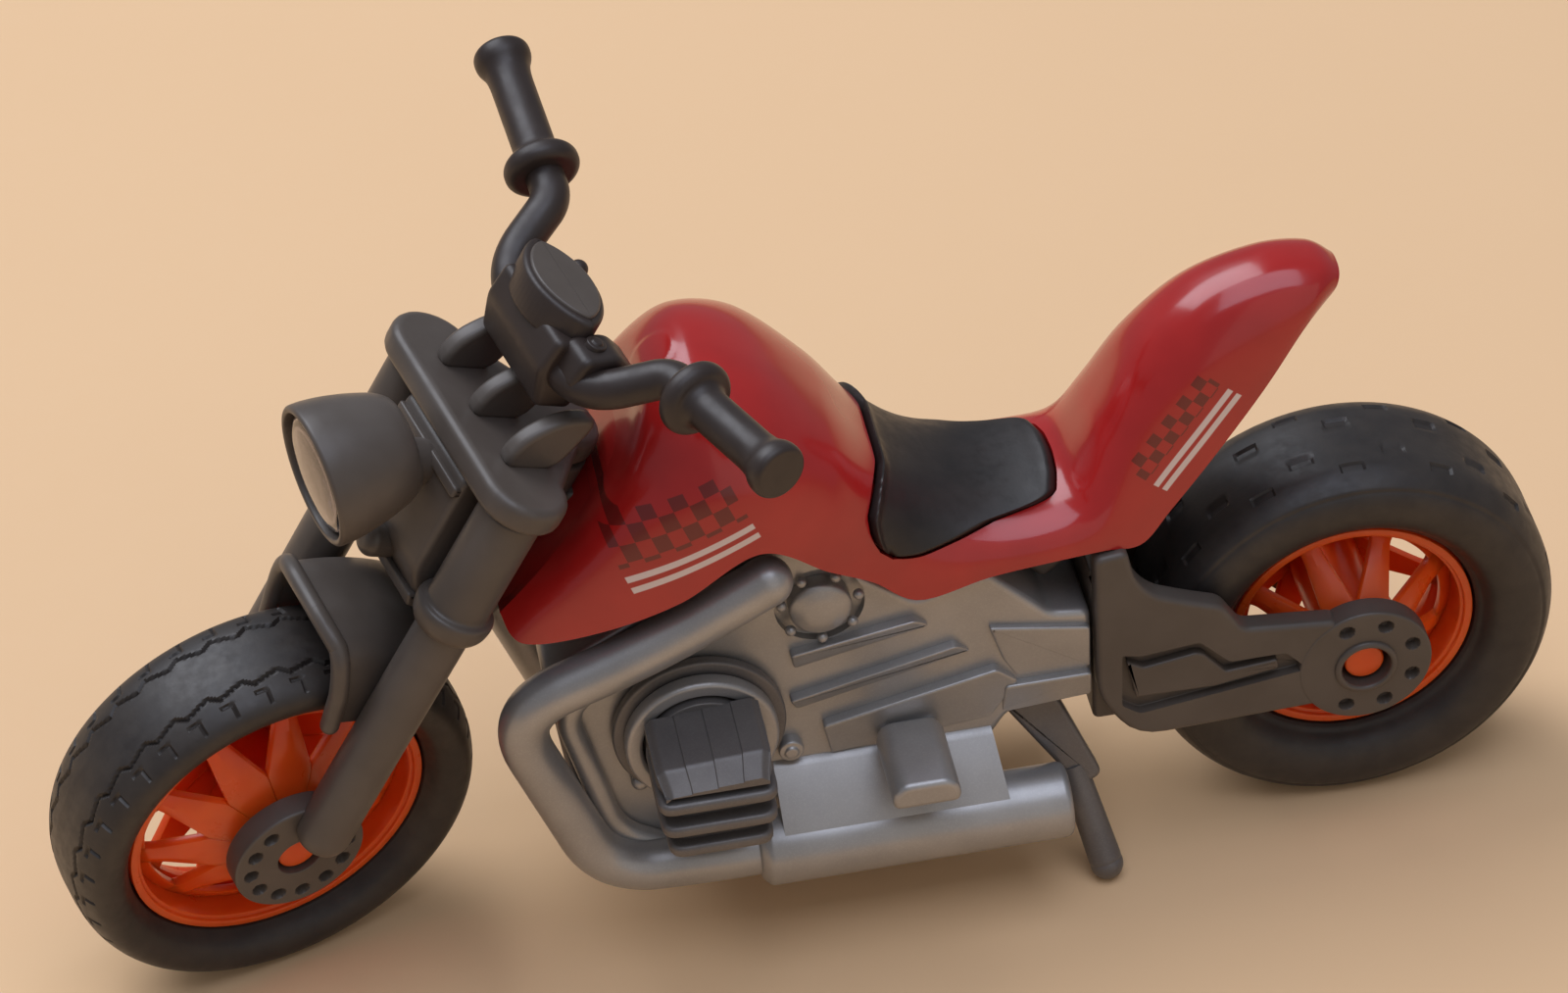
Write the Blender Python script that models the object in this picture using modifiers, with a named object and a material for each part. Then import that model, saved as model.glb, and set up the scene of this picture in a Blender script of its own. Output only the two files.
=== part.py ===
"""Toy motorcycle with a turning fork, two rolling wheels and a folding side stand.

Lengths are metres and angles are radians. +X is forward, +Y is the rider's left and +Z is up.
The bike is drawn with its rear axle over x = 0, and the empty "motorcycle" then centres it.
Both tyres stand on z = 0, and the fork is drawn turned to the left, as the toy was parked.
"""

import math
from dataclasses import dataclass

import bmesh
import bpy
from mathutils import Matrix, Vector

for old in list(bpy.data.objects):
    bpy.data.objects.remove(old, do_unlink=True)

# Fits
GAP = 0.0003
SIDE_CLEARANCE = 0.0004
EDGE = 0.0005

# Steering
RAKE = math.radians(31.0)
STEER_AT_REST = math.radians(19.5)
LEG_AHEAD = 0.0094
STEM_RADIUS = 0.0020
HEAD_WALL = 0.0020
HEAD_LENGTH = 0.0160
HEAD_AHEAD = 0.0048
GUSSET_HALF = 0.0030

# Wheels
FRONT_TYRE_RADIUS = 0.0214
FRONT_TYRE_HALF = 0.0062
FRONT_RIM_RADIUS = 0.0155
FRONT_WINDOWS = 10
REAR_TYRE_RADIUS = 0.0210
REAR_TYRE_HALF = 0.0077
REAR_RIM_RADIUS = 0.0126
REAR_WINDOWS = 8
RIM_WALL = 0.0012
RIM_CONE = 0.0013
SPOKE_WIDTH = 0.0019
HUB_RADIUS = 0.0036
AXLE_RADIUS = 0.0020
DISC_RADIUS = 0.0068
DISC_THICKNESS = 0.0026
DISC_HOLES = 8
DISC_HOLE_RADIUS = 0.0007
# Height above the bead, and width, as shares of each tyre's section
FRONT_SECTION = ((0.0, 0.62), (0.2, 0.88), (0.5, 1.0), (0.76, 0.92), (0.94, 0.60), (1.0, 0.20))
REAR_SECTION = ((0.0, 0.62), (0.2, 0.90), (0.5, 1.0), (0.78, 0.93), (0.95, 0.68), (1.0, 0.38))

# Fork
LEG_RADIUS = 0.0023
SLEEVE_WALL = 0.0009
SLEEVE_LIP = 0.0006
FENDER_CLEARANCE = 0.0050
FENDER_WALL = 0.0010
BRIDGE_THICKNESS = 0.0032
CROWN_THICKNESS = 0.0030
CROWN_MARGIN = 0.0012
RISER_HEIGHT = 0.0072
RISER_WIDTH = 0.0030
RISER_SPACING = 0.0070
NACELLE_DEPTH = 0.0080
LAMP_RADIUS = 0.0070
LAMP_WALL = 0.0009
LAMP_DEPTH = 0.0090
LAMP_AHEAD = 0.0243
LAMP_BELOW_CROWN = 0.0063
STALK_RADIUS = 0.0022

# Handlebar
BAR_RADIUS = 0.0019
SPIGOT_RADIUS = 0.0011
GRIP_RADIUS = 0.0021
GRIP_FLANGE_RADIUS = 0.0037
GRIP_KNOB_RADIUS = 0.0029
GRIP_LENGTH = 0.0147
THROTTLE_EXTRA = 0.0009
GRIP_LIP = 0.0022
GRIP_AHEAD = 0.0027
GRIP_OUT = 0.0050
GRIP_RISE = 0.0070
GRIP_LIFT = 0.0030
GRIP_SWEEP = 0.0010
BAR_BEHIND_LEGS = 0.0016
BAR_BEND_Y = 0.0088
ELBOW_AHEAD = 0.0011
POD_RADIUS = 0.0039
POD_FOOT_RADIUS = 0.0030
POD_HEIGHT = 0.0045
POD_STRETCH = 1.32
DIAL_DEPTH = 0.0010

# Engine
ENGINE_LENGTH = 0.0540
ENGINE_HALF = 0.0095
SPINE_HALF = 0.0040
BAR_PROUD = 0.0012
BAR_HALF = 0.0010
BOLT_RADIUS = 0.0011
HEAD_SIZE = (0.0117, 0.0102, 0.0106)
FIN_COUNT = 4
FIN_THICKNESS = 0.0016
FLANGE_RADIUS = 0.0086
COLLAR_RADIUS = 0.0076
COLLAR_WALL = 0.0017
COLLAR_DEPTH = 0.0017
FLANGE_DEPTH = 0.0012
PIPE_RADIUS = 0.0025
SILENCER_RADIUS = 0.0038
SILENCER_Y = 0.0130
COVER_RADIUS = 0.0041
COVER_STUDS = 7
COVER_PROUD = 0.0016
PEG_SIZE = (0.0068, 0.0092, 0.0030)

# Rear end
TYRE_TO_BRIDGE = 0.0012
ARM_BRIDGE_DEPTH = 0.0050
ARM_THICKNESS = 0.0025
ARM_POCKET_DEPTH = 0.0009
STAND_RADIUS = 0.0017
STAND_PIVOT_Y = 0.0066
STAND_FOOT_Y = 0.0126

# Body
BODY_WALL = 0.0013
SEAT_DEPTH = 0.0013
SEAT_PROUD = 0.0004
TANK_HALF = 0.0146
TANK_RISE = 0.0023
TANK_ABOVE_CROWN = 0.0084

WHEEL_STEPS = 28
ROUND_STEPS = 14
FLANGE_STEPS = 20
SMALL_STEPS = 5


def tyre_reach(radius, half, rim_radius, section, lean):
    """Return how far a tyre reaches along a direction that its axle leans towards by the cosine lean."""
    height = radius - rim_radius - GAP
    square = math.sqrt(1.0 - lean * lean)
    reaches = []
    for up, across in section:
        reaches.append((rim_radius + GAP + up * height) * square + across * half * abs(lean))
    return max(reaches)


# Places worked out from the sizes
AXLE_LEAN_X = -math.cos(RAKE) * math.sin(STEER_AT_REST)
AXLE_LEAN_Z = -math.sin(RAKE) * math.sin(STEER_AT_REST)
ARM_X = REAR_TYRE_RADIUS + TYRE_TO_BRIDGE + ARM_BRIDGE_DEPTH
FRONT_X = ARM_X + GAP + ENGINE_LENGTH
FRONT_DISC_Y = FRONT_TYRE_HALF + SIDE_CLEARANCE
REAR_DISC_Y = REAR_TYRE_HALF + SIDE_CLEARANCE
LEG_Y = FRONT_DISC_Y + FENDER_WALL + GAP + LEG_RADIUS
SLEEVE_RADIUS = LEG_RADIUS + GAP + SLEEVE_WALL
HEAD_RADIUS = STEM_RADIUS + GAP + HEAD_WALL
FENDER_RADIUS = FRONT_TYRE_RADIUS + FENDER_CLEARANCE + FENDER_WALL
BRIDGE_Z = FENDER_RADIUS + GAP
BRIDGE_TOP = BRIDGE_Z + BRIDGE_THICKNESS
CROWN_Z = BRIDGE_TOP + GAP + HEAD_LENGTH + GAP
CROWN_TOP = CROWN_Z + CROWN_THICKNESS
RISER_TOP = CROWN_TOP + RISER_HEIGHT
BAR_Z = RISER_TOP + GAP + BAR_RADIUS
POD_Z = BAR_Z + BAR_RADIUS + GAP
FRONT_TYRE = (FRONT_TYRE_RADIUS, FRONT_TYRE_HALF, FRONT_RIM_RADIUS, FRONT_SECTION)
REAR_TYRE = (REAR_TYRE_RADIUS, REAR_TYRE_HALF, REAR_RIM_RADIUS, REAR_SECTION)
AXIS_Z = tyre_reach(*FRONT_TYRE, AXLE_LEAN_Z) - LEG_AHEAD * math.sin(RAKE) * math.cos(STEER_AT_REST)
AXIS_X = FRONT_X + HEAD_AHEAD + BRIDGE_TOP * math.sin(RAKE)
FRONT_AXLE_X = AXIS_X + LEG_AHEAD * math.cos(RAKE) * math.cos(STEER_AT_REST)
MIDDLE_X = (FRONT_AXLE_X + tyre_reach(*FRONT_TYRE, AXLE_LEAN_X) - REAR_TYRE_RADIUS) / 2
CROWN_HEIGHT = AXIS_Z + CROWN_Z * math.cos(RAKE)


def at(along, up):
    """Return the (x, z) place at shares of the engine's length and of the crown's height."""
    return ARM_X + GAP + along * ENGINE_LENGTH, up * CROWN_HEIGHT


def on_arm(along, up):
    """Return the (x, z) place at shares of the rear arm's length and of the crown's height."""
    return along * ARM_X, up * CROWN_HEIGHT


def beside(along, y, up):
    """Return the point y to the left of the place at the given shares."""
    x, z = at(along, up)
    return x, y, z


def on_fork(ahead, up):
    """Return the (x, z) place of a point in the fork's own frame, on the bike's middle plane."""
    x = AXIS_X + ahead * math.cos(RAKE) - up * math.sin(RAKE)
    z = AXIS_Z + ahead * math.sin(RAKE) + up * math.cos(RAKE)
    return x, z


SILENCER_FRONT, SILENCER_Z = at(0.648, 0.207)
SILENCER_BACK = at(0.065, 0.207)[0]
TANK_SHOULDER = on_fork(-HEAD_RADIUS - GAP, CROWN_TOP + TANK_ABOVE_CROWN)
TANK_TOP = TANK_SHOULDER[1] + TANK_RISE

PARTS = bpy.data.collections.new("toy_motorcycle")
CUTTERS = bpy.data.collections.new("cutters")
bpy.context.scene.collection.children.link(PARTS)
bpy.context.scene.collection.children.link(CUTTERS)
CUTTERS.hide_render = True


@dataclass(frozen=True)
class Finish:
    """Colour and surface of one kind of moulding."""

    name: str
    colour: tuple
    roughness: float
    metallic: float = 0.0
    transmission: float = 0.0

    def material(self, part):
        """Return a new material for the named part."""
        made = bpy.data.materials.new(f"{self.name}_{part}")
        made.use_nodes = True
        shader = made.node_tree.nodes["Principled BSDF"]
        shader.inputs["Base Color"].default_value = (*self.colour, 1.0)
        shader.inputs["Roughness"].default_value = self.roughness
        shader.inputs["Metallic"].default_value = self.metallic
        shader.inputs["Transmission Weight"].default_value = self.transmission
        return made


RED = Finish("red_gloss", (0.39, 0.015, 0.014), 0.22)
BLACK = Finish("black_satin", (0.012, 0.012, 0.013), 0.45)
DARK = Finish("dark_grey", (0.065, 0.058, 0.052), 0.45)
BROWN = Finish("brown_black", (0.030, 0.022, 0.018), 0.35)
SILVER = Finish("silver_paint", (0.32, 0.31, 0.30), 0.38, 0.7)
GREY = Finish("mid_grey", (0.11, 0.105, 0.10), 0.45, 0.2)
ORANGE = Finish("orange", (0.68, 0.085, 0.010), 0.35)
RUBBER = Finish("tyre_black", (0.011, 0.011, 0.011), 0.6)
BRIGHT = Finish("bright_reflector", (0.75, 0.75, 0.75), 0.12, 1.0)
CLEAR = Finish("clear_lens", (0.9, 0.92, 0.93), 0.05, 0.0, 0.9)


def empty(name, parent, matrix):
    """Add an empty that carries the pieces of one moving body."""
    frame = bpy.data.objects.new(name, None)
    PARTS.objects.link(frame)
    frame.parent = parent
    frame.matrix_local = matrix
    return frame


def put(name, mesh, parent, finish):
    """Link a mesh as a part, or as a hidden tool when it has no finish."""
    piece = bpy.data.objects.new(name, mesh)
    piece.parent = parent
    if finish is None:
        CUTTERS.objects.link(piece)
        piece.hide_render = True
        piece.display_type = "WIRE"
    else:
        PARTS.objects.link(piece)
        mesh.materials.append(finish.material(name))
    return piece


def mesh_from(name, shape):
    """Turn a bmesh into a mesh with its faces pointing out."""
    bmesh.ops.recalc_face_normals(shape, faces=shape.faces)
    mesh = bpy.data.meshes.new(name)
    shape.to_mesh(mesh)
    shape.free()
    return mesh


def soften(piece, width, segments=1):
    """Round the sharp edges of a piece."""
    bevel = piece.modifiers.new("rounded_edges", "BEVEL")
    bevel.width = width
    bevel.segments = segments
    bevel.limit_method = "ANGLE"
    bevel.angle_limit = math.radians(40.0)
    return piece


def combine(piece, tool, operation):
    """Add a Boolean of the tool to the piece."""
    modifier = piece.modifiers.new(tool.name, "BOOLEAN")
    modifier.object = tool
    modifier.operation = operation
    modifier.solver = "EXACT"
    return piece


def block(name, low, high, parent, finish=None):
    """Add a box between two corners."""
    low = Vector(low)
    high = Vector(high)
    shape = bmesh.new()
    bmesh.ops.create_cube(shape, size=1.0)
    size = high - low
    scale = Matrix.Diagonal((abs(size.x), abs(size.y), abs(size.z), 1.0))
    bmesh.ops.transform(shape, matrix=Matrix.Translation((low + high) / 2) @ scale, verts=shape.verts)
    return put(name, mesh_from(name, shape), parent, finish)


def add_rod(shape, start, end, radius, sides, end_radius=None):
    """Add a cylinder or cone between two points to a bmesh."""
    start = Vector(start)
    end = Vector(end)
    axis = end - start
    turn = Vector((0.0, 0.0, 1.0)).rotation_difference(axis).to_matrix().to_4x4()
    bmesh.ops.create_cone(
        shape,
        cap_ends=True,
        segments=sides,
        radius1=radius,
        radius2=radius if end_radius is None else end_radius,
        depth=axis.length,
        matrix=Matrix.Translation((start + end) / 2) @ turn,
    )


def rod(name, start, end, radius, parent, finish=None, sides=ROUND_STEPS, end_radius=None):
    """Add a cylinder or cone between two points."""
    shape = bmesh.new()
    add_rod(shape, start, end, radius, sides, end_radius)
    return put(name, mesh_from(name, shape), parent, finish)


def ball(name, centre, radius, parent):
    """Add a round tool about a point."""
    shape = bmesh.new()
    bmesh.ops.create_uvsphere(shape, u_segments=12, v_segments=6, radius=radius)
    bmesh.ops.translate(shape, vec=centre, verts=shape.verts)
    return put(name, mesh_from(name, shape), parent, None)


def rod_ring(name, centre, pitch_radius, count, radius, low, high, parent, left_out=0.0):
    """Add a tool of equal rods along Y round a circle in the X-Z plane, with an arc left out at its top."""
    shape = bmesh.new()
    for index in range(count):
        angle = left_out / 2 + (math.tau - left_out) * (index + 0.5) / count
        x = centre[0] + pitch_radius * math.sin(angle)
        z = centre[1] + pitch_radius * math.cos(angle)
        add_rod(shape, (x, low, z), (x, high, z), radius, SMALL_STEPS)
    return put(name, mesh_from(name, shape), parent, None)


def curve_mesh(name, curve):
    """Turn a curve into a mesh whose seams are welded."""
    carrier = bpy.data.objects.new(name, curve)
    mesh = bpy.data.meshes.new_from_object(carrier)
    bpy.data.objects.remove(carrier)
    shape = bmesh.new()
    shape.from_mesh(mesh)
    bpy.data.meshes.remove(mesh)
    bmesh.ops.remove_doubles(shape, verts=shape.verts, dist=1e-6)
    return shape


def slab(name, outline, low, high, parent, finish=None, across="Y"):
    """Add a flat plate: an X-Z outline thick along Y, or an X-Y outline thick along Z."""
    curve = bpy.data.curves.new(name, "CURVE")
    curve.dimensions = "2D"
    curve.fill_mode = "BOTH"
    curve.extrude = abs(high - low) / 2
    spline = curve.splines.new("POLY")
    spline.points.add(len(outline) - 1)
    for point, (u, v) in zip(spline.points, outline):
        point.co = (u, v, 0.0, 1.0)
    spline.use_cyclic_u = True
    shape = curve_mesh(name, curve)
    middle = (low + high) / 2
    if across == "Y":
        matrix = Matrix.Translation((0.0, middle, 0.0)) @ Matrix.Rotation(math.pi / 2, 4, "X")
    else:
        matrix = Matrix.Translation((0.0, 0.0, middle))
    bmesh.ops.transform(shape, matrix=matrix, verts=shape.verts)
    return put(name, mesh_from(name, shape), parent, finish)


def turned(name, profile, parent, finish=None, closed=False, steps=ROUND_STEPS):
    """Add a profile of (radius, height) points turned about the local Z axis."""
    shape = bmesh.new()
    points = [shape.verts.new((radius, 0.0, height)) for radius, height in profile]
    for first, second in zip(points, points[1:]):
        shape.edges.new((first, second))
    if closed:
        shape.edges.new((points[-1], points[0]))
    mesh = bpy.data.meshes.new(name)
    shape.to_mesh(mesh)
    shape.free()
    piece = put(name, mesh, parent, finish)
    screw = piece.modifiers.new("turned", "SCREW")
    screw.steps = steps
    screw.render_steps = steps
    screw.use_merge_vertices = True
    screw.merge_threshold = 0.00001
    return piece


def rounded_path(corners, radius, steps=2):
    """Return a path whose inner corners are eased over the given reach."""
    path = [Vector(corners[0])]
    for before, corner, after in zip(corners, corners[1:], corners[2:]):
        corner = Vector(corner)
        back = Vector(before) - corner
        ahead = Vector(after) - corner
        reach = min(radius, back.length * 0.48, ahead.length * 0.48)
        start = corner + back.normalized() * reach
        end = corner + ahead.normalized() * reach
        for index in range(steps + 1):
            share = index / steps
            path.append(start.lerp(corner, share).lerp(corner.lerp(end, share), share))
    path.append(Vector(corners[-1]))
    return path


def bent_tube(name, path, radius, parent, finish):
    """Add a round tube along a path."""
    curve = bpy.data.curves.new(name, "CURVE")
    curve.dimensions = "3D"
    curve.bevel_depth = radius
    curve.bevel_resolution = 2
    curve.use_fill_caps = True
    spline = curve.splines.new("POLY")
    spline.points.add(len(path) - 1)
    for index, place in enumerate(path):
        spline.points[index].co = (*place, 1.0)
    shape = curve_mesh(name, curve)
    return put(name, mesh_from(name, shape), parent, finish)


def loft(name, rings, parent, finish=None):
    """Skin closed rings of equal length and cap both ends."""
    shape = bmesh.new()
    rows = [[shape.verts.new(point) for point in ring] for ring in rings]
    for first, second in zip(rows, rows[1:]):
        for index in range(len(first)):
            after = (index + 1) % len(first)
            shape.faces.new((first[index], first[after], second[after], second[index]))
    shape.faces.new(rows[0])
    shape.faces.new(rows[-1])
    return put(name, mesh_from(name, shape), parent, finish)


def side_name(stem, side):
    """Return the stem with the rider's left or right added."""
    return f"{stem}_{'left' if side > 0 else 'right'}"


def wheel(stem, tyre_size, windows, disc_y, parent):
    """Add a dished rim with its stub axles, and the tyre on it."""
    radius, half, rim_radius, section = tyre_size
    turn = Matrix.Rotation(-math.pi / 2, 4, "X")
    bead_half = section[0][1] * half
    bead_radius = rim_radius + GAP
    height = radius - bead_radius

    tread = [(bead_radius + up * height, across * half) for up, across in section]
    loop = tread + [(r, -y) for r, y in reversed(tread)]
    tyre = turned(f"{stem}_tyre", loop, parent, RUBBER, closed=True, steps=WHEEL_STEPS)
    tyre.matrix_local = turn

    inner = rim_radius - RIM_WALL
    hub_half = disc_y - GAP
    axle_half = disc_y + DISC_THICKNESS - 2 * GAP
    side = [
        (0.0, axle_half),
        (AXLE_RADIUS, axle_half),
        (AXLE_RADIUS, hub_half),
        (HUB_RADIUS, hub_half),
        (inner, RIM_CONE / 2),
        (inner, bead_half),
        (rim_radius, bead_half),
    ]
    profile = side + [(r, -y) for r, y in reversed(side)]
    rim = turned(f"{stem}_rim", profile, parent, ORANGE, steps=WHEEL_STEPS)
    rim.matrix_local = turn

    hollow_half = hub_half - RIM_CONE * 1.6
    hollow = [(HUB_RADIUS, hollow_half), (inner - RIM_CONE * 2.4, 0.0), (HUB_RADIUS, -hollow_half)]
    cavity = turned(f"{stem}_rim_hollow", hollow, parent, closed=True, steps=WHEEL_STEPS)
    cavity.matrix_local = turn
    combine(rim, cavity, "DIFFERENCE")

    base_radius = inner - GAP * 2
    base = math.tau * base_radius / windows - SPOKE_WIDTH
    size = base / math.sqrt(3.0)
    centre = base_radius * math.cos(math.pi / windows) - size / 2
    shape = bmesh.new()
    for index in range(windows):
        spin = Matrix.Rotation(math.tau * index / windows, 4, "Y")
        place = spin @ Matrix.Translation((0.0, 0.0, centre)) @ Matrix.Rotation(math.pi / 2, 4, "X")
        bmesh.ops.create_cone(
            shape,
            cap_ends=True,
            segments=3,
            radius1=size,
            radius2=size,
            depth=2 * half,
            matrix=place @ Matrix.Rotation(math.pi, 4, "Z"),
        )
    cutter = put(f"{stem}_rim_windows", mesh_from(f"{stem}_rim_windows", shape), parent, None)
    combine(rim, cutter, "DIFFERENCE")


def drilled_disc(name, inner_face, side, parent):
    """Add a drilled wheel disc about the local origin, as a tool for the piece that carries it."""
    outer_face = inner_face + DISC_THICKNESS
    disc = rod(name, (0.0, side * inner_face, 0.0), (0.0, side * outer_face, 0.0), DISC_RADIUS, parent)
    return soften(disc, EDGE)


def pierce_disc(piece, inner_face, side, parent, left_out=0.0):
    """Cut the axle bore and the ring of small blind holes into a piece's disc."""
    outer_face = inner_face + DISC_THICKNESS
    bore = rod(
        f"{piece.name}_bore",
        (0.0, side * (inner_face - GAP), 0.0),
        (0.0, side * (outer_face + 2 * LEG_RADIUS), 0.0),
        AXLE_RADIUS + GAP,
        parent,
    )
    combine(piece, bore, "DIFFERENCE")
    low = side * (outer_face - DISC_THICKNESS * 0.4)
    high = side * (outer_face + GAP)
    pitch = DISC_RADIUS - 2.4 * DISC_HOLE_RADIUS
    holes = rod_ring(
        f"{piece.name}_holes", (0.0, 0.0), pitch, DISC_HOLES, DISC_HOLE_RADIUS, low, high, parent, left_out)
    combine(piece, holes, "DIFFERENCE")


def fork_side(side, fork, axle):
    """Add one leg with its disc, and the sleeve over the leg."""
    name = side_name("fork_leg", side)
    leg_y = side * LEG_Y
    leg = rod(name, (0.0, leg_y, 0.0), (0.0, leg_y, CROWN_Z - GAP), LEG_RADIUS, axle, DARK)
    combine(leg, drilled_disc(f"{name}_disc", FRONT_DISC_Y, side, axle), "UNION")
    hidden = (LEG_RADIUS + DISC_HOLE_RADIUS) / (DISC_RADIUS - 3 * DISC_HOLE_RADIUS)
    behind_leg = 2 * math.asin(min(1.0, hidden))
    pierce_disc(leg, FRONT_DISC_Y, side, axle, behind_leg)

    low = BRIDGE_Z
    high = CROWN_Z - GAP
    bore = LEG_RADIUS + GAP
    lip = SLEEVE_RADIUS + SLEEVE_LIP
    foot = low - 2 * SLEEVE_LIP
    profile = [
        (bore, high),
        (SLEEVE_RADIUS, high),
        (SLEEVE_RADIUS, low - GAP),
        (lip, low - GAP),
        (lip, foot - 2 * SLEEVE_LIP),
        (bore, foot - 2 * SLEEVE_LIP),
    ]
    sleeve = turned(side_name("fork_sleeve", side), profile, fork, DARK, closed=True)
    sleeve.matrix_local = Matrix.Translation((LEG_AHEAD, leg_y, 0.0))


def yoke_outline(radius, boss_radius, steps=5):
    """Return the X-Y outline of a plate that holds both legs and the stem."""
    outline = []
    for index in range(steps + 1):
        angle = math.pi * index / steps
        outline.append((LEG_AHEAD + radius * math.cos(angle), LEG_Y + radius * math.sin(angle)))
    for index in range(steps + 1):
        angle = math.pi * (0.5 + index / steps)
        outline.append((boss_radius * math.cos(angle), boss_radius * math.sin(angle)))
    for index in range(steps + 1):
        angle = math.pi * (1.0 + index / steps)
        outline.append((LEG_AHEAD + radius * math.cos(angle), -LEG_Y + radius * math.sin(angle)))
    return outline


def fork_plates(fork):
    """Add the crown with its stem and bar risers, and the lower bridge."""
    plate_radius = SLEEVE_RADIUS + CROWN_MARGIN
    outline = yoke_outline(plate_radius, HEAD_RADIUS)
    crown = slab("fork_crown", outline, CROWN_Z, CROWN_TOP, fork, DARK, across="Z")
    stem = rod("fork_crown_stem", (0.0, 0.0, BRIDGE_Z), (0.0, 0.0, CROWN_Z + GAP), STEM_RADIUS, fork)
    combine(crown, stem, "UNION")
    front = LEG_AHEAD + SLEEVE_RADIUS * 0.7
    back = STEM_RADIUS
    for index in (-1, 0, 1):
        y = index * RISER_SPACING
        ridge = [
            (front, CROWN_TOP - GAP),
            (front - RISER_HEIGHT * 0.3, CROWN_TOP + RISER_HEIGHT * 0.75),
            (front - RISER_HEIGHT * 0.8, RISER_TOP),
            (back, RISER_TOP),
            (back, CROWN_TOP - GAP),
        ]
        riser = slab(f"fork_crown_riser_{index + 1}", ridge, y - RISER_WIDTH / 2, y + RISER_WIDTH / 2, fork)
        soften(riser, RISER_WIDTH * 0.25)
        combine(crown, riser, "UNION")

    bridge = slab("fork_bridge", outline, BRIDGE_Z, BRIDGE_TOP, fork, DARK, across="Z")
    places = ((LEG_AHEAD, LEG_Y, SLEEVE_RADIUS), (LEG_AHEAD, -LEG_Y, SLEEVE_RADIUS), (0.0, 0.0, STEM_RADIUS))
    for index, (x, y, radius) in enumerate(places):
        hole = rod(
            f"fork_bridge_hole_{index}",
            (x, y, BRIDGE_Z - GAP),
            (x, y, BRIDGE_TOP + GAP),
            radius + GAP,
            fork,
        )
        combine(bridge, hole, "DIFFERENCE")


def front_fender(axle):
    """Add the arched fender between the legs, with flaps that run down beside the tyre."""
    inside = FRONT_DISC_Y
    outside = inside + FENDER_WALL
    roof = FENDER_RADIUS - FENDER_WALL
    shoulder = FRONT_TYRE_RADIUS - 0.5 * FENDER_WALL
    skirt = FRONT_TYRE_RADIUS - 4.5 * FENDER_WALL
    slope = 0.8 * FENDER_WALL
    crest = 3.1 * FENDER_WALL
    outer = [(skirt, outside), (shoulder, outside), (FENDER_RADIUS - 2 * slope, outside - slope),
             (FENDER_RADIUS, outside - crest)]
    inner = [(skirt, inside), (shoulder, inside), (roof - 2 * slope, inside - slope), (roof, inside - crest)]
    ring = outer + [(r, -y) for r, y in reversed(outer)] + [(r, -y) for r, y in inner]
    ring += [(r, y) for r, y in reversed(inner)]
    steps = 8
    rings = []
    for index in range(steps + 1):
        angle = math.radians(-38.0 + 58.0 * index / steps)
        rings.append([(r * math.sin(angle), y, r * math.cos(angle)) for r, y in ring])
    fender = loft("front_fender", rings, axle, DARK)
    for side in (1, -1):
        notch = rod(
            side_name("front_fender_notch", side),
            (0.0, side * LEG_Y, shoulder),
            (0.0, side * LEG_Y, FENDER_RADIUS + FENDER_WALL),
            SLEEVE_RADIUS + SLEEVE_LIP + GAP,
            axle,
        )
        combine(fender, notch, "DIFFERENCE")


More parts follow.
